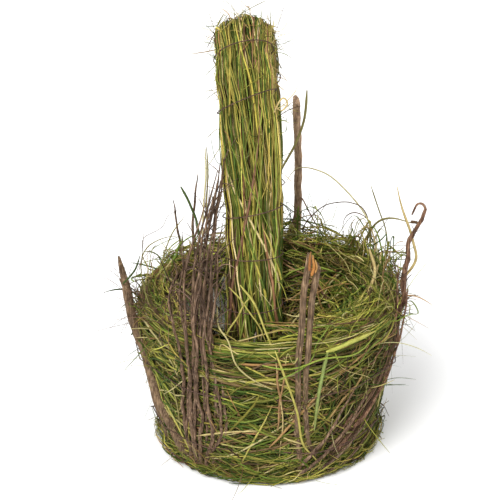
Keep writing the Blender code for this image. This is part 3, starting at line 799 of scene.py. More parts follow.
def rim_loops():
    """Thin stems that spring out of the rim in arcs, most of them at the right and the back."""
    rng = np.random.default_rng(15)
    count, rings = 300, 24
    t = np.linspace(0.0, 1.0, rings)[None, :]
    at_right = rng.random(count) < 0.60
    angle = np.where(at_right, rng.normal(0.45, 0.60, count), rng.uniform(-math.pi, math.pi, count))
    in_front = (angle < -1.0) & (angle > -2.1)
    span = rng.normal(0.0, 0.50, count)
    rise = np.abs(rng.normal(0.0, 1.0, count)) * np.where(at_right, 0.020, 0.011) + 0.003
    rise = np.where(in_front, 0.003, rise)
    out = rng.normal(0.000, 0.010, count)
    peak = rng.uniform(0.7, 1.6, count)[:, None]
    theta = angle[:, None] + span[:, None] * (t - 0.5) + wander(rng, count, rings, (1.0, 2.0), 0.035)
    arc = np.sin(math.pi * t ** peak)
    radius = RIM_RADIUS - 0.009 + rng.normal(0, 0.005, count)[:, None] + out[:, None] * arc
    radius = radius + wander(rng, count, rings, (1.0, 2.0), 0.003)
    z = BODY_HEIGHT - 0.004 + rise[:, None] * arc + wander(rng, count, rings, (1.5, 2.5), 0.003) * arc
    paths = polar(radius, theta, z)
    outward = any_way(rng, count, rings)
    widths = rng.uniform(0.0005, 0.0015, count)
    grass("rim_loops", paths, outward, widths, tints_for(rng, count, bias=0.9), "outer_grass")


def grown(rng, starts, directions, lengths, rings, curl, droop):
    """Free blades that grow from starts along directions, curl at random and droop."""
    count = len(starts)
    direction = unit(directions)
    step = (lengths / (rings - 1))[:, None]
    swing = rng.normal(0.0, 1.0, (count, 3)) * curl
    places = [starts]
    for _ in range(rings - 1):
        direction = unit(direction + (swing + rng.normal(0, 0.035, (count, 3))) / rings
                         - np.array([0, 0, droop]) / rings)
        places.append(places[-1] + direction * step)
    return np.stack(places, axis=1)


def body_strays():
    """Blade ends and thin stems that stick out of the body's side and rim."""
    rng = np.random.default_rng(16)
    count, rings = 220, 18
    theta = rng.uniform(-math.pi, math.pi, count)
    z = 0.002 + (BODY_HEIGHT - 0.002) * rng.random(count) ** 0.75
    radius = side_radius(z) - 0.002
    starts = polar(radius, theta, z)
    out, around = level_ways(theta)
    side = rng.choice([-1.0, 1.0], count)[:, None] * rng.uniform(0.6, 1.6, (count, 1))
    high = (z > 0.120)[:, None]
    up = np.array([0, 0, 1.0]) * np.where(high, rng.uniform(0.0, 1.6, (count, 1)),
                                          rng.normal(0.0, 0.6, (count, 1)))
    directions = out * rng.uniform(0.15, 0.55, (count, 1)) + around * side + up
    lengths = rng.uniform(0.020, 0.070, count)
    paths = kept_inside(grown(rng, starts, directions, lengths, rings, 3.4, 0.6))
    widths = rng.uniform(0.0003, 0.0012, count)
    outward = any_way(rng, count, rings)
    grass("body_strays", paths, outward, widths, tints_for(rng, count), "outer_grass")


def kept_inside(paths):
    """Free blades stay off the floor and within a little of the CAD model's box."""
    low = np.array(CAD_BOX[0]) - 0.012
    high = np.array(CAD_BOX[1]) + 0.012
    low[2] = 0.0012
    return np.clip(paths, low, high)


# ---------------------------------------------------------------- grass of the handle

def handle_grass(handle):
    """The bundle: blades that run along the arch and slant a little across it, tight at the
    ties and full between, coarser low down and finer at the top."""
    rng = np.random.default_rng(21)
    count, rings = 2100, 16
    t = np.linspace(0.0, 1.0, rings)[None, :]
    length = rng.uniform(0.07, 0.34, count)
    start = rng.uniform(-0.04, handle.length - 0.04, count)
    s = np.clip(start[:, None] + length[:, None] * t, 0.002, handle.length - 0.002)
    depth = rng.random(count) ** 0.55
    bright = rng.random(count) < 0.12
    share = np.where(bright, 0.95, 0.50 + 0.43 * depth)
    tuft = rng.integers(0, 260, count)
    slant = rng.normal(-1.8, 4.4, 260)[tuft] + rng.normal(0.0, 1.2, count)
    slant = np.where(rng.random(count) < 0.07, slant * 3.0, slant)
    phi = rng.uniform(0, 2 * math.pi, 260)[tuft] + rng.normal(0.0, 0.45, count)
    phi = phi[:, None] + (slant * length)[:, None] * (t - 0.5) + wander(rng, count, rings, (0.6, 1.3), 0.04)
    full = share[:, None] + wander(rng, count, rings, (0.8, 1.7), 0.018)
    low = 1.0 - np.clip(np.abs(start + length / 2 - handle.length / 2) / (0.42 * handle.length), 0.0, 1.0)
    paths, outward = on_handle(handle, s, phi, full)
    widths = (0.0009 + 0.0023 * rng.random(count) ** 1.3) * (1.0 - 0.45 * low)
    # painted light and shade: deep blades inside the bundle are darkened for its inner shade, and blades
    # nearer the top of the arch, where low is 1, are made lighter for the light falling there
    shade = np.where(bright, 1.08, 0.03 + 0.87 * depth ** 2.4) * (1.06 + 0.52 * low)
    tints = tints_for(rng, count, spread=0.33) * shade[:, None] * np.array([1.03, 0.94, 1.0])
    outward = unit(outward + rng.normal(0.0, 0.35, (count, 1, 3)))
    grass("handle_grass", paths, outward, widths, tints, "handle_grass", ("grass_handle",))


def handle_core(handle):
    """Painted shade in the middle of the bundle: a dark oval bar along the arch."""
    rings, sides = 90, 16
    s = np.linspace(0.004, handle.length - 0.004, rings)[:, None]
    phi = np.linspace(0, 2 * math.pi, sides, endpoint=False)[None, :]
    corners, _ = on_handle(handle, s + 0 * phi, phi + 0 * s, np.full((rings, sides), 0.62))
    piece(bar_mesh("handle_core", corners), "handle_grass", SHADE_FILL, SHADE_FILL)


def on_handle(handle, s, phi, full):
    """Points on the bundle's section: phi goes round it and full is the share of its radius."""
    centre, wide, deep, _ = handle.at(s)
    left = handle.squeeze(s) * full
    a = (left * HANDLE_WIDTH / 2 * np.cos(phi))[..., None]
    b = (left * HANDLE_DEPTH / 2 * np.sin(phi))[..., None]
    outward = wide * (np.cos(phi) / HANDLE_WIDTH)[..., None] + deep * (np.sin(phi) / HANDLE_DEPTH)[..., None]
    return centre + wide * a + deep * b, unit(outward)


def handle_strays(handle):
    """Blade ends that have worked loose from the bundle."""
    rng = np.random.default_rng(22)
    count, rings = 320, 16
    s = rng.uniform(0.06, handle.length - 0.06, count)
    phi = rng.uniform(0, 2 * math.pi, count)
    starts, outward = on_handle(handle, s, phi, np.full(count, 0.88))
    tangent = handle.at(s)[3] * rng.choice([-1.0, 1.0], (count, 1))
    directions = tangent * rng.uniform(1.2, 3.2, (count, 1)) + outward * rng.uniform(0.15, 0.6, (count, 1))
    lengths = rng.uniform(0.008, 0.036, count)
    paths = kept_inside(grown(rng, starts, directions, lengths, rings, 5.0, 0.4))
    widths = rng.uniform(0.0003, 0.0010, count)
    facing = any_way(rng, count, rings)
    grass("handle_strays", paths, facing, widths, tints_for(rng, count, bias=1.1), "handle_grass")


def top_tangle(handle):
    """Fine brown and olive ends matted over the top of the arch."""
    rng = np.random.default_rng(26)
    count, rings = 260, 18
    s = handle.length / 2 + rng.normal(0.0, 0.055, count)
    phi = rng.uniform(0, 2 * math.pi, count)
    starts, outward = on_handle(handle, s, phi, np.full(count, 0.97))
    tangent = handle.at(s)[3]
    directions = (tangent * rng.normal(0, 1, (count, 1))
                  + np.cross(outward, tangent) * rng.normal(0, 1, (count, 1))
                  + outward * rng.uniform(-0.15, 0.30, (count, 1)))
    paths = kept_inside(grown(rng, starts, directions, rng.uniform(0.010, 0.040, count), rings, 3.0, 0.6))
    widths = rng.uniform(0.0004, 0.0011, count)
    facing = any_way(rng, count, rings)
    tints = tints_for(rng, count, spread=0.3) * np.array([1.05, 0.92, 0.9])
    grass("top_tangle", paths, facing, widths, tints, "handle_grass")


# ---------------------------------------------------------------- twigs

CAD_SIDES = 6


def cad_corners(node):
    """The corners of a CAD bar or loop, each once and in no order."""
    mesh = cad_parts[node].data
    co = np.array([v.co for v in mesh.vertices], float)
    return np.unique(np.round(co, 6), axis=0)


def bar_line(node):
    """Centre line and radii of an open CAD bar, from its lower end up."""
    corners = cad_corners(node)
    middle = corners.mean(0)
    axis = np.linalg.svd(corners - middle, full_matrices=False)[2][0]
    if axis[np.abs(axis).argmax()] < 0:
        axis = -axis
    if abs(axis[2]) > 0.3 and axis[2] < 0:
        axis = -axis
    order = np.argsort((corners - middle) @ axis)
    rings = corners[order].reshape(-1, CAD_SIDES, 3)
    centres = rings.mean(1)
    radii = np.linalg.norm(rings - centres[:, None], axis=2).mean(1)
    return np.concatenate([centres, radii[:, None]], axis=1)


def loop_line(node):
    """Centre line of a closed CAD loop of wire."""
    corners = cad_corners(node)
    middle = corners.mean(0)
    flat = np.linalg.svd(corners - middle, full_matrices=False)[2]
    x, y = (corners - middle) @ flat[0], (corners - middle) @ flat[1]
    order = np.argsort(np.arctan2(y, x))
    return corners[order].reshape(-1, CAD_SIDES, 3).mean(1)


def bar_frames(line):
    """Two directions across a line that don't spin along it."""
    tangent = unit(np.gradient(line, axis=0))
    first = np.cross(tangent[0], [0.3, 0.9, 0.2])
    across = [first / np.linalg.norm(first)]
    for t in tangent[1:]:
        side = across[-1] - t * (across[-1] @ t)
        across.append(side / np.linalg.norm(side))
    across = np.array(across)
    return tangent, across, np.cross(tangent, across)


def bark_profile(rng, length, count, radius, knots):
    """Radius along a twig with swellings at its knots and fine unevenness."""
    s = np.linspace(0.0, length, count)
    swell = np.ones(count)
    for place in knots:
        swell += rng.uniform(0.06, 0.22) * np.exp(-((s - place) / (radius * 0.9)) ** 2)
    rough = sum(rng.normal(0, 0.022) * np.sin(2 * math.pi * s / wave + rng.uniform(0, 6))
                for wave in (0.004, 0.007, 0.013, 0.026))
    return swell + rough


def bark_bar(name, line, rng, sides, slant, pointed, rough=1.0, step=0.0017):
    """A closed twig mesh: ridged bark on the sides, cut faces at its ends."""
    length = np.linalg.norm(np.diff(line[:, :3], axis=0), axis=1).sum()
    count = max(8, int(length / step))
    fine = catmull(line, count)
    radius = fine[:, 3]
    tangent, across, over = bar_frames(fine[:, :3])
    knots = np.arange(rng.uniform(0.008, 0.02), length, rng.uniform(0.018, 0.034))
    shape = 1.0 + rough * (bark_profile(rng, length, count, radius.mean(), knots) - 1.0)
    if pointed:
        shape *= np.interp(np.linspace(0, 1, count), [0, 0.02, 0.45, 0.93, 1.0],
                           [0.85, 1.06, 1.0, 0.78, 0.35])
    s = np.linspace(0.0, length, count)
    crook = np.zeros((count, 3))
    for wave, bow in ((0.022, 0.10), (0.041, 0.30), (0.080, 0.50)):
        for way in (across, over):
            crook += way * (rng.normal(0, bow * rough) * radius * np.sin(2 * math.pi * s / wave
                                                                  + rng.uniform(0, 6)))[:, None]
    ends = np.clip(np.minimum(s, length - s) / 0.01, 0, 1)
    centre = fine[:, :3] + crook * ends[:, None]
    turn = np.linspace(0, 2 * math.pi, sides, endpoint=False)
    ridge = np.ones((count, sides))
    for lobes in (2, 3, 5, 7):
        drift = rng.uniform(0, 6) + np.cumsum(rng.normal(0, 0.10, count))
        ridge += rng.uniform(0.015, 0.045) * np.cos(lobes * turn[None, :] + drift[:, None])
    ridge += rng.normal(0, 0.022, (count, sides))
    r = (radius * shape)[:, None] * ridge
    ring = (across[:, None] * np.cos(turn)[None, :, None] + over[:, None] * np.sin(turn)[None, :, None])
    corners = centre[:, None] + ring * r[..., None]
    facing = ring[-1] @ np.array([-0.45, 0.9, 0.0])
    corners[-1] += tangent[-1] * (slant * facing * r[-1])[:, None]
    return bar_mesh(name, corners)


def bar_mesh(name, corners):
    """A closed bar from rings of corners; its two end faces take the second material."""
    count, sides, _ = corners.shape
    ring = np.arange(count - 1) * sides
    mesh = bpy.data.meshes.new(name)
    faces = [tuple(quad) for quad in quads_between(ring, ring + sides, sides).tolist()]
    faces.append(tuple(range(sides - 1, -1, -1)))
    last = (count - 1) * sides
    faces.append(tuple(range(last, last + sides)))
    mesh.from_pydata(corners.reshape(-1, 3).tolist(), [], faces)
    obj = placed(name, mesh)
    mesh.polygons.foreach_set("use_smooth", [True] * (len(faces) - 2) + [False, False])
    mesh.polygons.foreach_set("material_index", [0] * (len(faces) - 2) + [1, 1])
    mesh.update()
    return obj


# More thin twigs of the left bundle: degrees at the foot, low down, at the waist, the rim,
# above it and at the tip, height of the tip, and radius at the foot.
LEFT_EXTRA = (
    (-131, -133.5, -127.0, -124.0, -122.5, -120.5, 0.322, 0.0018),
    (-130, -130.0, -125.5, -122.5, -121.5, -119.6, 0.325, 0.0016),
    (-129, -112.0, -111.0, -115.0, -117.0, -115.5, 0.270, 0.0018),
    (-130, -114.5, -112.5, -116.0, -118.5, -118.5, 0.328, 0.0017),
    (-131, -127.5, -123.5, -121.0, -119.5, -118.2, 0.330, 0.0017),
    (-129.5, -117.3, -115.3, -117.0, -120.0, -125.0, 0.262, 0.0014),
    (-130, -121.5, -119.9, -119.6, -125.5, -124.0, 0.262, 0.0013),
)


def wall_point(degrees, z, off):
    angle, radius = math.radians(degrees), float(side_radius(z)) + off
    return (radius * math.cos(angle), radius * math.sin(angle), z)


def left_extra_line(foot, below, waist, rim, above, tip, top, radius, off):
    lean = 0.0195 * ((top - BODY_HEIGHT) / 0.166) ** 2
    route = (wall_point(foot, 0.008, off), wall_point(below, 0.045, off),
             wall_point(waist, 0.105, off), wall_point(rim, BODY_HEIGHT, off),
             wall_point(above, 0.5 * (top + BODY_HEIGHT), off - 0.3 * lean), wall_point(tip, top, off - lean))
    line = catmull(route, 30)
    return drawn_right(np.concatenate([line, np.linspace(radius, 0.5 * radius, 30)[:, None]], axis=1))


def drawn_right(line):
    """A twig of the left bundle with its top drawn over towards the handle."""
    shift = 0.0080 * np.clip((line[:, 2:3] - 0.165) / 0.14, 0.0, 1.0) ** 1.2
    return line + shift * np.array([1.0, 0.0, 0.0, 0.0])


def twiglets(name, rng, lines, count, low, lengths, width, slot="bark"):
    """Thin side shoots that grow from twigs above a height, each bent its own way."""
    rings = 14
    starts, ways = [], []
    for _ in range(count):
        line = lines[rng.integers(len(lines))][:, :3]
        above = np.flatnonzero(line[:, 2] > low)
        k = int(rng.choice(above[:-1])) if len(above) > 1 else len(line) - 2
        along = unit(line[k + 1] - line[k])
        starts.append(line[k])
        ways.append(along + rng.normal(0, 0.42, 3))
    paths = grown(rng, np.array(starts), np.array(ways), rng.uniform(*lengths, count), rings, 1.1, -0.1)
    widths = rng.uniform(0.6, 1.4, count) * width
    tints = bark_tints(rng, count, (0.13, 0.085, 0.062), 0.35)
    outward = any_way(rng, count, rings)
    grass(name, kept_inside(paths), outward, widths, tints, slot, flat=0.9, tips=0.0)


# Middle line of the right bundle on the wall, as (degrees from +X, height).
RIGHT_LINE = ((-76, 0.006), (-62, 0.014), (-49, 0.035), (-34, 0.062), (-21, 0.090), (-15, 0.130),
              (-13, 0.165))


def fan_fibres():
    """The fan of thin brown twigs that climbs round the lower right of the wall."""
    rng = np.random.default_rng(301)
    count, rings = 120, 24
    share = np.linspace(0.0, 1.0, len(RIGHT_LINE))
    degrees, heights = np.array(RIGHT_LINE).T
    start = np.where(rng.random(count) < 0.6, rng.uniform(0.0, 0.25, count), rng.uniform(0.2, 0.8, count))
    end = np.clip(start + rng.uniform(0.15, 0.6, count), 0.0, 1.0)
    along = start[:, None] + (end - start)[:, None] * np.linspace(0, 1, rings)[None, :]
    spread = rng.normal(0.0, 1.0, (count, 1)) * (0.35 + along)
    angle = np.radians(np.interp(along, share, degrees) - 4.5 * spread + rng.normal(0, 1.2, (count, 1)))
    z = np.interp(along, share, heights) + 0.008 * spread + rng.normal(0, 0.004, (count, 1))
    z = np.clip(z + wander(rng, count, rings, (1.0, 2.2), 0.0012), 0.003, BODY_HEIGHT + 0.02)
    radius = (side_radius(z) + rng.uniform(0.0008, 0.0065, (count, 1))
              + wander(rng, count, rings, (1.5,), 0.0006))
    paths = polar(radius, angle, z)
    outward = unit(polar(1.0, angle, np.full_like(angle, 0.2)))
    widths = rng.uniform(0.0009, 0.0028, count)
    tints = bark_tints(rng, count, (0.17, 0.105, 0.068), 0.45)
    grass("fan_fibres", paths, outward, widths, tints, "bark", flat=0.9, tips=0.0)


# How much of its CAD radius a twig shows, where its bark is thinner than the bar.
VISIBLE_SHARE = {"front_stick_left": 0.84, "front_stick_right": 0.84, "rim_twig": 1.25,
                 "right_bundle_twig_1": 0.92}
RED_SHARE = 0.72                # the same for the rest of the right bundle
HOOK_RADIUS = 0.0050
HOOK_SWEEP = 0.75 * math.pi
HOOK_END = (-0.0040, 0.0, -0.0100)
NUB_REACH = (-0.0050, 0.0, 0.0100)


def hooked_tip(tip):
    """The thin end that curls over to -X from the tip of the right twig and hangs down."""
    turn = np.linspace(0.0, HOOK_SWEEP, 10)
    arc = tip + HOOK_RADIUS * np.stack([np.cos(turn) - 1.0, 0 * turn, 1.3 * np.sin(turn)], axis=1)
    hang = arc[-1] + np.linspace(0.0, 1.0, 7)[1:, None] * np.array(HOOK_END)
    line = np.concatenate([arc, hang])
    return np.concatenate([line, np.linspace(0.0014, 0.0009, len(line))[:, None]], axis=1)


def side_nub(place):
    """The stub of a side shoot near the top of the left stick."""
    line = place + np.linspace(0.0, 1.0, 6)[:, None] * np.array(NUB_REACH)
    return np.concatenate([line, np.linspace(0.0024, 0.0012, 6)[:, None]], axis=1)


# Dark, middle and light tones of each kind of bark.
BARKS = {
    "grey": ((0.060, 0.038, 0.024), (0.18, 0.125, 0.076), (0.36, 0.27, 0.18)),
    "purple": ((0.030, 0.018, 0.013), (0.165, 0.110, 0.072), (0.36, 0.26, 0.18)),
    "pale": ((0.20, 0.135, 0.090), (0.44, 0.32, 0.215), (0.62, 0.48, 0.35)),
    "red": ((0.045, 0.022, 0.014), (0.19, 0.110, 0.070), (0.38, 0.25, 0.16)),
}
EXTRA_OFFSETS = (0.0012, 0.0035, 0.0058)    # how far the thin twigs stand off the wall, in turn


def shown_line(node, kind):
    """A twig's line as it is drawn: its CAD bar with the changes that the look needs."""
    line = bar_line(node)
    if "left_bundle" in node:
        line = drawn_right(line)
    line[:, 3] *= VISIBLE_SHARE.get(node, RED_SHARE if kind == "red" else 1.0)
    if node == "left_stick_front":
        line[-3:, 3] *= (0.92, 0.70, 0.32)
    if node == "right_bundle_twig_1":
        rise = np.clip((line[:, 2] - 0.19) / 0.068, 0.0, 1.0)
        line[:, 0] += 0.0040 * rise ** 1.3
        line[:, 2] -= 0.0050 * rise
        line[:, 3] *= 1.0 - 0.25 * rise
    if node == "rim_twig":
        line[:, :3] *= (0.97, 0.97, 1.0)
    return line


def twigs():
    """Every twig and stick, rebuilt along its CAD bar with bark, knots and cut ends."""
    bark = {kind: bark_material(kind + "_bark", *tones) for kind, tones in BARKS.items()}
    cut = cut_wood_material()
    names = sorted(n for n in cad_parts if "twig" in n or "stick" in n)
    lines = {}
    for number, node in enumerate(names):
        rng = np.random.default_rng(100 + number)
        thick = "stick" in node
        kind = "red" if "right_bundle" in node else "purple" if "twig" in node else "grey"
        kind = "pale" if node in ("back_stick", "rim_twig") else kind
        lines[node] = shown_line(node, kind)
        slender = not thick and node not in ("right_bundle_twig_1", "rim_twig")
        rough = 0.45 if thick else 1.0 if slender else 1.3
        obj = bark_bar(node + "_bark", lines[node], rng, 16 if thick else 10, rng.uniform(0.9, 1.6),
                       slender, rough)
        piece(obj, "bark", bark[kind], cut)
        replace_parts(obj, node)
    left = [lines[n] for n in names if "left_bundle" in n]
    for number, (*route, radius) in enumerate(LEFT_EXTRA, 1):
        rng = np.random.default_rng(200 + number)
        line = left_extra_line(*route, radius, EXTRA_OFFSETS[number % 3] + radius)
        left.append(line)
        obj = bark_bar(f"left_bundle_extra_{number}", line, rng, 10, 0.5, True)
        piece(obj, "bark", bark["purple"], cut)
    right = [lines[n] for n in names if "right_bundle" in n]
    rng = np.random.default_rng(300)
    twiglets("left_twiglets", rng, left, 200, 0.165, (0.010, 0.040), 0.0009)
    twiglets("right_twiglets", rng, right, 40, 0.140, (0.006, 0.024), 0.0009)
    hook = hooked_tip(lines["right_bundle_twig_1"][-1, :3])
    piece(bark_bar("right_hook", hook, rng, 10, 0.5, False), "bark", bark["red"], cut)
    nub = side_nub(lines["left_stick_front"][-3, :3])
    piece(bark_bar("left_stick_nub", nub, rng, 10, 0.5, False, 0.3), "bark", bark["grey"], cut)
    fan_fibres()


# ---------------------------------------------------------------- wires

def loop_frames(path):
    """Two directions across a closed loop of wire: outwards, and square to that."""
    tangent = unit(np.roll(path, -1, axis=0) - np.roll(path, 1, axis=0))
    out = square_to(path - path.mean(0), tangent)
    return out, np.cross(tangent, out)


def twisted_loop(name, line, wire, turns_per_metre, mat):
    """A closed loop of two thin wires twisted together, as two tubes, each its own object."""
    closed = np.concatenate([line, line[:1]])
    along = distances(closed)
    count = max(60, int(along[-1] / 0.0012))
    s = np.linspace(0.0, along[-1], count, endpoint=False)
    centre = np.stack([np.interp(s, along, closed[:, k]) for k in range(3)], axis=1)
    out, over = loop_frames(centre)
    turns = max(3, round(along[-1] * turns_per_metre))
    objects = []
    for half in (0, 1):
        twist = 2 * math.pi * turns * s / along[-1] + half * math.pi
        path = centre + wire * (out * np.cos(twist)[:, None] + over * np.sin(twist)[:, None])
        objects.append(wire_loop(f"{name}_{half + 1}", path, wire, mat))
    return objects


def wire_loop(name, path, radius, mat):
    """A closed loop of round wire."""
    count, sides = len(path), 6
    out, over = loop_frames(path)
    turn = np.linspace(0, 2 * math.pi, sides, endpoint=False)
    ring = out[:, None] * np.cos(turn)[None, :, None] + over[:, None] * np.sin(turn)[None, :, None]
    corners = path[:, None] + ring * radius
    start = np.arange(count) * sides
    faces = quads_between(start, np.roll(start, -1), sides)
    return piece(mesh_object(name, corners.reshape(-1, 3), faces), "binding_wire", mat)


def wires(handle):
    """Ties round the handle, bindings round the body, and the hidden frame's own metal."""
    rusty = wire_material("rusty_wire", (0.035, 0.020, 0.015), (0.16, 0.085, 0.055), 0.6)
    frame_wire = wire_material("frame_wire", (0.07, 0.05, 0.04), (0.20, 0.16, 0.13), 0.5)
    for node in sorted(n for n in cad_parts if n.startswith("handle_tie") or n.endswith("_binding")):
        line = loop_line(node)
        if node.startswith("handle_tie"):
            handle.ties.append(handle.place_of(line.mean(0)))
        pair = twisted_loop(node + "_wire", line, 0.00036, 220, rusty)
        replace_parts(pair[0], node)
    for node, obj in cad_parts.items():
        if "ring" in node or "rib_wire" in node or "cross_wire" in node or "core_wire" in node:
            obj.data.materials.clear()
            obj.data.materials.append(frame_wire)


# ---------------------------------------------------------------- the film liner

def film():
    """Thin clear film pushed into the bowl: folds, creases and a ragged top edge."""
    rng = np.random.default_rng(31)
    across, up = 260, 60
    theta = np.linspace(0, 2 * math.pi, across, endpoint=False)[None, :]
    top = BODY_HEIGHT - 0.010 + 0.004 * np.sin(3 * theta + 1.0) + 0.003 * np.sin(7 * theta)
    share = np.linspace(0.0, 1.0, up)[:, None]
    low = FILM_FLOOR + 0.002
    z = low + (top - low) * share
    folds = np.zeros((up, across))
    for _ in range(10):
        lobes = rng.integers(5, 26)
        lean = rng.normal(0, 45)
        wave = np.abs(np.sin(lobes * theta / 2 + lean * z + rng.uniform(0, 6)))
        folds += rng.uniform(0.3, 1.0) * wave / math.sqrt(lobes)
    folds = (folds - folds.min()) / (folds.max() - folds.min())
    radius = side_radius(np.minimum(z, BODY_HEIGHT - 0.010)) - 0.0213 - 0.0085 * folds * (0.35 + 0.65 * share)
    wall = polar(radius, theta, z * np.ones_like(theta))
    inner = np.linspace(0.0, 1.0, 14)[1:, None]
    floor_radius = radius[0][None, :] * inner
    ripple = 0.0012 * np.sin(9 * theta + 14 * inner) * np.sin(5 * theta - 20 * inner)
    floor = polar(floor_radius, theta, FILM_FLOOR + 0.001 + 0.001 * inner + ripple * (1 - inner))
    rows = np.concatenate([floor, wall[1:]])
    obj = film_mesh(rows)
    # the crease values, from how sharply the film folds, set where its painted highlight shows
    crease = np.concatenate([np.full(floor.shape[:2], 0.2), fold_edges(folds)[1:]]).ravel()
    crease = np.concatenate([[0.2], crease])
    layer = obj.data.attributes.new("crease", "FLOAT", "POINT")
    layer.data.foreach_set("value", crease.astype(np.float32))
    skin = obj.modifiers.new("Film", "SOLIDIFY")
    skin.thickness = 0.0002
    skin.offset = 0.0
    piece(obj, "clear_film", film_material())
    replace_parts(obj, "film_liner")


def fold_edges(folds):
    """How sharply the film is creased at each point, from 0 to 1."""
    bend = np.abs(np.roll(folds, 1, 1) + np.roll(folds, -1, 1) - 2 * folds)
    return np.clip(bend / np.percentile(bend, 96), 0.0, 1.0)


def film_mesh(rows):
    """One sheet through the rows of points, closed at its middle."""
    count, across, _ = rows.shape
    verts = np.concatenate([[[0.0, 0.0, FILM_FLOOR + 0.001]], rows.reshape(-1, 3)])
    j = np.arange(across)
    nxt = (j + 1) % across
    faces = [(0, 1 + a, 1 + b) for a, b in zip(j.tolist(), nxt.tolist())]
    for i in range(count - 1):
        base, above = 1 + i * across, 1 + (i + 1) * across
        faces += [(base + a, above + a, above + b, base + b) for a, b in zip(j.tolist(), nxt.tolist())]
    mesh = bpy.data.meshes.new("film_liner_sheet")
    mesh.from_pydata(verts.tolist(), [], faces)
    mesh.polygons.foreach_set("use_smooth", [True] * len(faces))
    return placed("film_liner_sheet", mesh)


# ---------------------------------------------------------------- single stems

OLIVE, YELLOW, DARK = (0.30, 0.27, 0.10), (0.55, 0.50, 0.13), (0.07, 0.11, 0.03)
STRAW, PALE, TAN, BROWN = (0.66, 0.52, 0.24), (0.74, 0.68, 0.40), (0.42, 0.25, 0.12), (0.14, 0.085, 0.05)

# Loose stems that the CAD model has: width, colour, route.
CAD_STEMS = {
    "left_loop_stem": (0.0012, OLIVE,
                       ((-0.112, -0.050, 0.1545), (-0.119, -0.050, 0.178), (-0.1215, -0.0495, 0.203),
                        (-0.1155, -0.045, 0.2195), (-0.097, -0.042, 0.2295), (-0.0815, -0.042, 0.2305))),
    "right_straw_stem": (0.0028, STRAW,
                         ((0.1225, 0.004, 0.1545), (0.135, 0.006, 0.168), (0.1445, 0.006, 0.186),
                          (0.1400, 0.005, 0.206), (0.132, 0.002, 0.234), (0.1235, 0.000, 0.264))),
    "back_arch_stem": (0.0017, PALE,
                       ((0.1115, 0.036, 0.1545), (0.109, 0.052, 0.180), (0.098, 0.070, 0.208),
                        (0.070, 0.090, 0.234), (0.050, 0.103, 0.242), (0.030, 0.1135, 0.240),
                        (0.018, 0.1170, 0.222))),
    "tall_yellow_stem": (0.0026, OLIVE,
                         ((0.0369, 0.050, 0.345), (0.0334, 0.050, 0.315), (0.0259, 0.051, 0.289),
                          (0.0160, 0.056, 0.265), (0.0090, 0.066, 0.244))),
    "brown_tip_stem": (0.0024, OLIVE,
                       ((0.0935, 0.0728, 0.1545), (0.100, 0.060, 0.185), (0.108, 0.045, 0.208),
                        (0.122, 0.035, 0.217), (0.143, 0.029, 0.2140))),
}

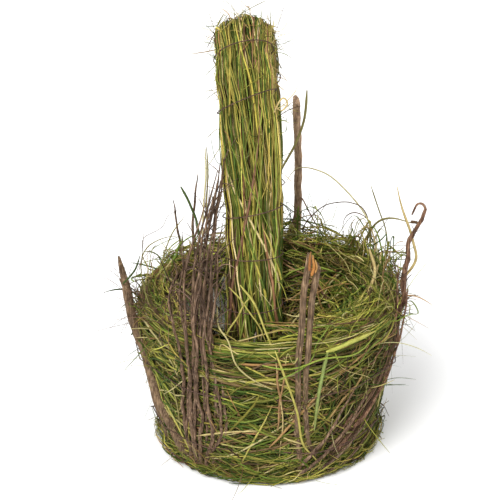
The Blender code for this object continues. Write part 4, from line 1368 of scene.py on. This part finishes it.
# More loose stems: name, width, colour, route as points in metres.
FREE_STEMS = (
    ("dark_arc", 0.0012, BROWN, ((0.034, 0.112, 0.164), (0.039, 0.100, 0.185), (0.055, 0.095, 0.203),
                                 (0.068, 0.085, 0.213), (0.085, 0.075, 0.217), (0.099, 0.070, 0.206),
                                 (0.114, 0.070, 0.150))),
    ("right_upright", 0.0014, OLIVE, ((0.102, 0.050, 0.244), (0.112, 0.055, 0.215), (0.120, 0.058, 0.188),
                                      (0.122, 0.040, 0.152))),
    ("pale_blade_1", 0.0036, STRAW, ((0.100, 0.020, 0.190), (0.103, -0.010, 0.178),
                                     (0.090, -0.055, 0.160), (0.079, -0.078, 0.148))),
    ("pale_blade_2", 0.0024, STRAW, ((0.112, 0.020, 0.187), (0.109, 0.008, 0.179), (0.104, -0.010, 0.174))),
    ("brown_tip", 0.0032, BROWN, ((0.141, 0.029, 0.216), (0.145, 0.029, 0.215), (0.149, 0.028, 0.214))),
    ("green_blade", 0.0038, (0.50, 0.52, 0.12), ((0.052, -0.128, 0.153), (0.075, -0.117, 0.157),
                                                 (0.099, -0.096, 0.158))),
    ("pale_upright_1", 0.0017, PALE,
     ((-0.061, -0.035, 0.315), (-0.060, -0.045, 0.294), (-0.061, -0.060, 0.270),
      (-0.063, -0.085, 0.220), (-0.066, -0.096, 0.160))),
    ("pale_upright_2", 0.0014, OLIVE,
     ((-0.059, -0.035, 0.318), (-0.0575, -0.045, 0.294), (-0.058, -0.060, 0.268),
      (-0.059, -0.085, 0.220), (-0.060, -0.098, 0.160))),
    ("dark_green_upright", 0.0024, DARK, ((-0.083, -0.036, 0.279), (-0.075, -0.045, 0.263),
                                          (-0.068, -0.050, 0.250), (-0.062, -0.060, 0.225))),
    ("foot_across", 0.0016, STRAW, ((-0.046, -0.106, 0.146), (-0.028, -0.112, 0.156),
                                    (-0.011, -0.112, 0.161), (0.011, -0.105, 0.163))),
    ("foot_cross_1", 0.0018, YELLOW, ((-0.040, -0.108, 0.159), (-0.028, -0.108, 0.183),
                                      (-0.016, -0.106, 0.200), (-0.007, -0.104, 0.212))),
    ("foot_cross_2", 0.0015, YELLOW, ((-0.037, -0.110, 0.211), (-0.027, -0.112, 0.198),
                                      (-0.013, -0.112, 0.175), (0.000, -0.112, 0.150))),
    ("stalk_top", 0.0022, YELLOW, ((-0.027, -0.112, 0.213), (-0.016, -0.113, 0.196),
                                   (-0.007, -0.115, 0.178), (0.001, -0.121, 0.156), (0.010, -0.129, 0.138))),
    ("film_stem", 0.0022, OLIVE, ((-0.099, -0.050, 0.194), (-0.079, -0.070, 0.188),
                                  (-0.060, -0.090, 0.182), (-0.044, -0.105, 0.172))),
    ("left_hair_1", 0.0006, BROWN, ((-0.124, -0.050, 0.195), (-0.120, -0.050, 0.215),
                                    (-0.119, -0.050, 0.240), (-0.123, -0.050, 0.245))),
    ("left_hair_2", 0.0006, BROWN, ((-0.120, -0.050, 0.218), (-0.117, -0.050, 0.234), (-0.101, -0.050, 0.244),
                                    (-0.095, -0.050, 0.255), (-0.082, -0.050, 0.263))),
    ("left_green_1", 0.0020, DARK, ((-0.141, -0.035, 0.178), (-0.129, -0.040, 0.193),
                                    (-0.123, -0.042, 0.211))),
    ("left_green_2", 0.0013, OLIVE, ((-0.104, -0.060, 0.202), (-0.092, -0.060, 0.239),
                                     (-0.079, -0.060, 0.260))),
    ("left_green_3", 0.0026, (0.16, 0.24, 0.04), ((-0.091, -0.060, 0.212), (-0.086, -0.060, 0.224),
                                                  (-0.081, -0.060, 0.238))),
    ("knot", 0.0017, STRAW, ((0.003, -0.076, 0.366), (0.008, -0.074, 0.376), (0.012, -0.073, 0.379),
                             (0.015, -0.074, 0.374), (0.010, -0.077, 0.368), (0.003, -0.078, 0.373))),
    ("torn_end_1", 0.0030, (0.55, 0.24, 0.07),
     ((0.0365, -0.136, 0.233), (0.0385, -0.136, 0.243), (0.0375, -0.135, 0.253))),
    ("torn_end_2", 0.0026, (0.40, 0.17, 0.06),
     ((0.0350, -0.136, 0.238), (0.0345, -0.136, 0.247), (0.0360, -0.135, 0.256))),
    ("torn_end_3", 0.0018, (0.62, 0.34, 0.12),
     ((0.0400, -0.136, 0.236), (0.0410, -0.136, 0.243), (0.0400, -0.1355, 0.249))),
    ("knot_end", 0.0008, STRAW, ((0.003, -0.076, 0.368), (0.013, -0.074, 0.374), (0.020, -0.072, 0.381),
                                 (0.025, -0.071, 0.391))),
)

# Stems that lie on the wall: name, width, colour, route as (degrees from +X, height, distance off).
WALL_STEMS = (
    ("green_leaf", 0.0036, (0.30, 0.38, 0.12),
     ((-66, 0.148, 0.004), (-68, 0.124, 0.005), (-69, 0.102, 0.006), (-69, 0.060, 0.005))),
    ("stalk", 0.0023, YELLOW,
     ((-88, 0.156, 0.0095), (-85, 0.136, 0.0080), (-81, 0.108, 0.0085), (-78, 0.084, 0.0085),
      (-75, 0.050, 0.0085), (-68, 0.028, 0.0085), (-60, 0.008, 0.007))),
    ("pale_arc", 0.0017, (0.58, 0.52, 0.24),
     ((-116, 0.186, -0.010), (-112, 0.173, 0.002), (-108, 0.162, 0.005),
      (-104, 0.142, 0.006), (-97, 0.126, 0.005), (-89, 0.112, 0.002))),
    ("tan_blade_1", 0.0022, TAN,
     ((-86, 0.154, 0.003), (-87, 0.124, 0.004), (-85, 0.094, 0.0035), (-87, 0.054, 0.003))),
    ("tan_blade_2", 0.0018, TAN, ((-84, 0.132, 0.004), (-85.5, 0.102, 0.005), (-86, 0.064, 0.004))),
    ("tan_blade_3", 0.0014, STRAW,
     ((-88, 0.148, 0.003), (-86, 0.110, 0.0045), (-84, 0.070, 0.004), (-85, 0.030, 0.003))),
    ("left_yellow_1", 0.0022, YELLOW,
     ((-150, 0.064, 0.003), (-140, 0.044, 0.005), (-135, 0.020, 0.004), (-134, 0.002, 0.003))),
    ("left_yellow_2", 0.0020, OLIVE, ((-139, 0.098, 0.003), (-137, 0.066, 0.005), (-139, 0.026, 0.004))),
    ("left_stub", 0.0026, DARK, ((-174, 0.125, 0.000), (-172, 0.120, 0.008), (-171, 0.116, 0.014))),
    ("low_diagonal", 0.0020, YELLOW,
     ((-109, 0.002, 0.003), (-100, 0.038, 0.004), (-93, 0.072, 0.004), (-89, 0.094, 0.003))),
)
ABOVE_GRASS = 0.0020            # added to each distance off the wall


def stem(name, width, color, points, tips=0.4):
    """One loose stem through its points, with a little unevenness of its own."""
    rng = np.random.default_rng(len(name) * 31 + int(width * 1e6))
    count = 40
    path = catmull(points, count)
    path += np.stack([wander(rng, 1, count, (0.9, 1.9), 0.0004)[0] for _ in range(3)], axis=1)
    facing = np.tile([0.0, -0.9, 0.4], (1, count, 1))
    return grass_piece(name, path[None], facing, np.array([width]), np.array([color]), "straw", tips=tips)


def stems():
    """Every loose stem that stands out by itself."""
    for node, (width, color, points) in CAD_STEMS.items():
        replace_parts(stem(node + "_blade", width, color, points), node)
    for name, width, color, points in FREE_STEMS:
        stem(name, width, color, points)
    for name, width, color, route in WALL_STEMS:
        places = [wall_point(angle, z, off + ABOVE_GRASS) for angle, z, off in route]
        stem(name, width, color, places, tips=0.2)


# ---------------------------------------------------------------- stage

CAMERA_TILT = math.radians(23.97)
CAMERA_TARGET = Vector((-0.0183, 0.0, 0.1981))
CAMERA_DISTANCE = 1.6
LENS = 118.0


def stage():
    """Pale floor, soft light and a white world."""
    mesh = bpy.data.meshes.new("floor")
    mesh.from_pydata([(-6, -6, 0), (6, -6, 0), (6, 6, 0), (-6, 6, 0)], [], [(0, 1, 2, 3)])
    floor = placed("floor", mesh)
    mat, _, shader = new_material("pale_floor")
    shader.inputs["Base Color"].default_value = (0.93, 0.93, 0.93, 1)
    shader.inputs["Roughness"].default_value = 0.9
    mesh.materials.append(mat)
    sun_light("key", (-0.6, -0.9, 1.1), 35.0, 3.2)
    sun_light("top", (0.15, -0.1, 1.0), 80.0, 1.4)
    area_light("fill", (1.5, -1.0, 0.9), 1.4, 5.0)
    world = bpy.data.worlds.new("studio")
    world.use_nodes = True
    world.node_tree.nodes["Background"].inputs["Color"].default_value = (1, 1, 1, 1)
    world.node_tree.nodes["Background"].inputs["Strength"].default_value = 0.42
    bpy.context.scene.world = world
    bpy.context.scene.view_settings.view_transform = "Standard"


def aimed(light, place, target):
    light.location = place
    light.rotation_euler = (target - Vector(place)).to_track_quat("-Z", "Y").to_euler()


def sun_light(name, place, softness, strength):
    """Even light over the whole floor, coming from a place, with soft shadows."""
    data = bpy.data.lights.new(name, "SUN")
    data.angle = math.radians(softness)
    data.energy = strength
    aimed(placed(name, data), place, Vector((0, 0, 0)))


def area_light(name, place, size, power):
    data = bpy.data.lights.new(name, "AREA")
    data.size = size
    data.energy = power
    aimed(placed(name, data), place, Vector((0, 0, 0.18)))


def camera():
    """Seen from the front, 24 degrees above, a little to the left of the basket's middle."""
    data = bpy.data.cameras.new("camera")
    data.lens = LENS
    data.sensor_width = 36.0
    cam = placed("camera", data)
    back = Vector((0.0, -math.cos(CAMERA_TILT), math.sin(CAMERA_TILT)))
    cam.location = CAMERA_TARGET + CAMERA_DISTANCE * back
    cam.rotation_euler = (math.pi / 2 - CAMERA_TILT, 0.0, 0.0)
    bpy.context.scene.camera = cam


GRASS = grass_material()
SHADE_FILL = shade_fill_material()
camera()
stage()
the_handle = Handle()
wires(the_handle)
for lay in (wall_core, wall_grass, wall_curls, skirt, rim_heap, rim_arches, springing, left_hairs,
            inner_shag, lining_grass, base_grass, rim_grass, rim_loops, body_strays):
    lay()
for lay in (handle_core, handle_grass, handle_strays, top_tangle):
    lay(the_handle)
twigs()
film()
stems()

bpy.context.view_layer.update()
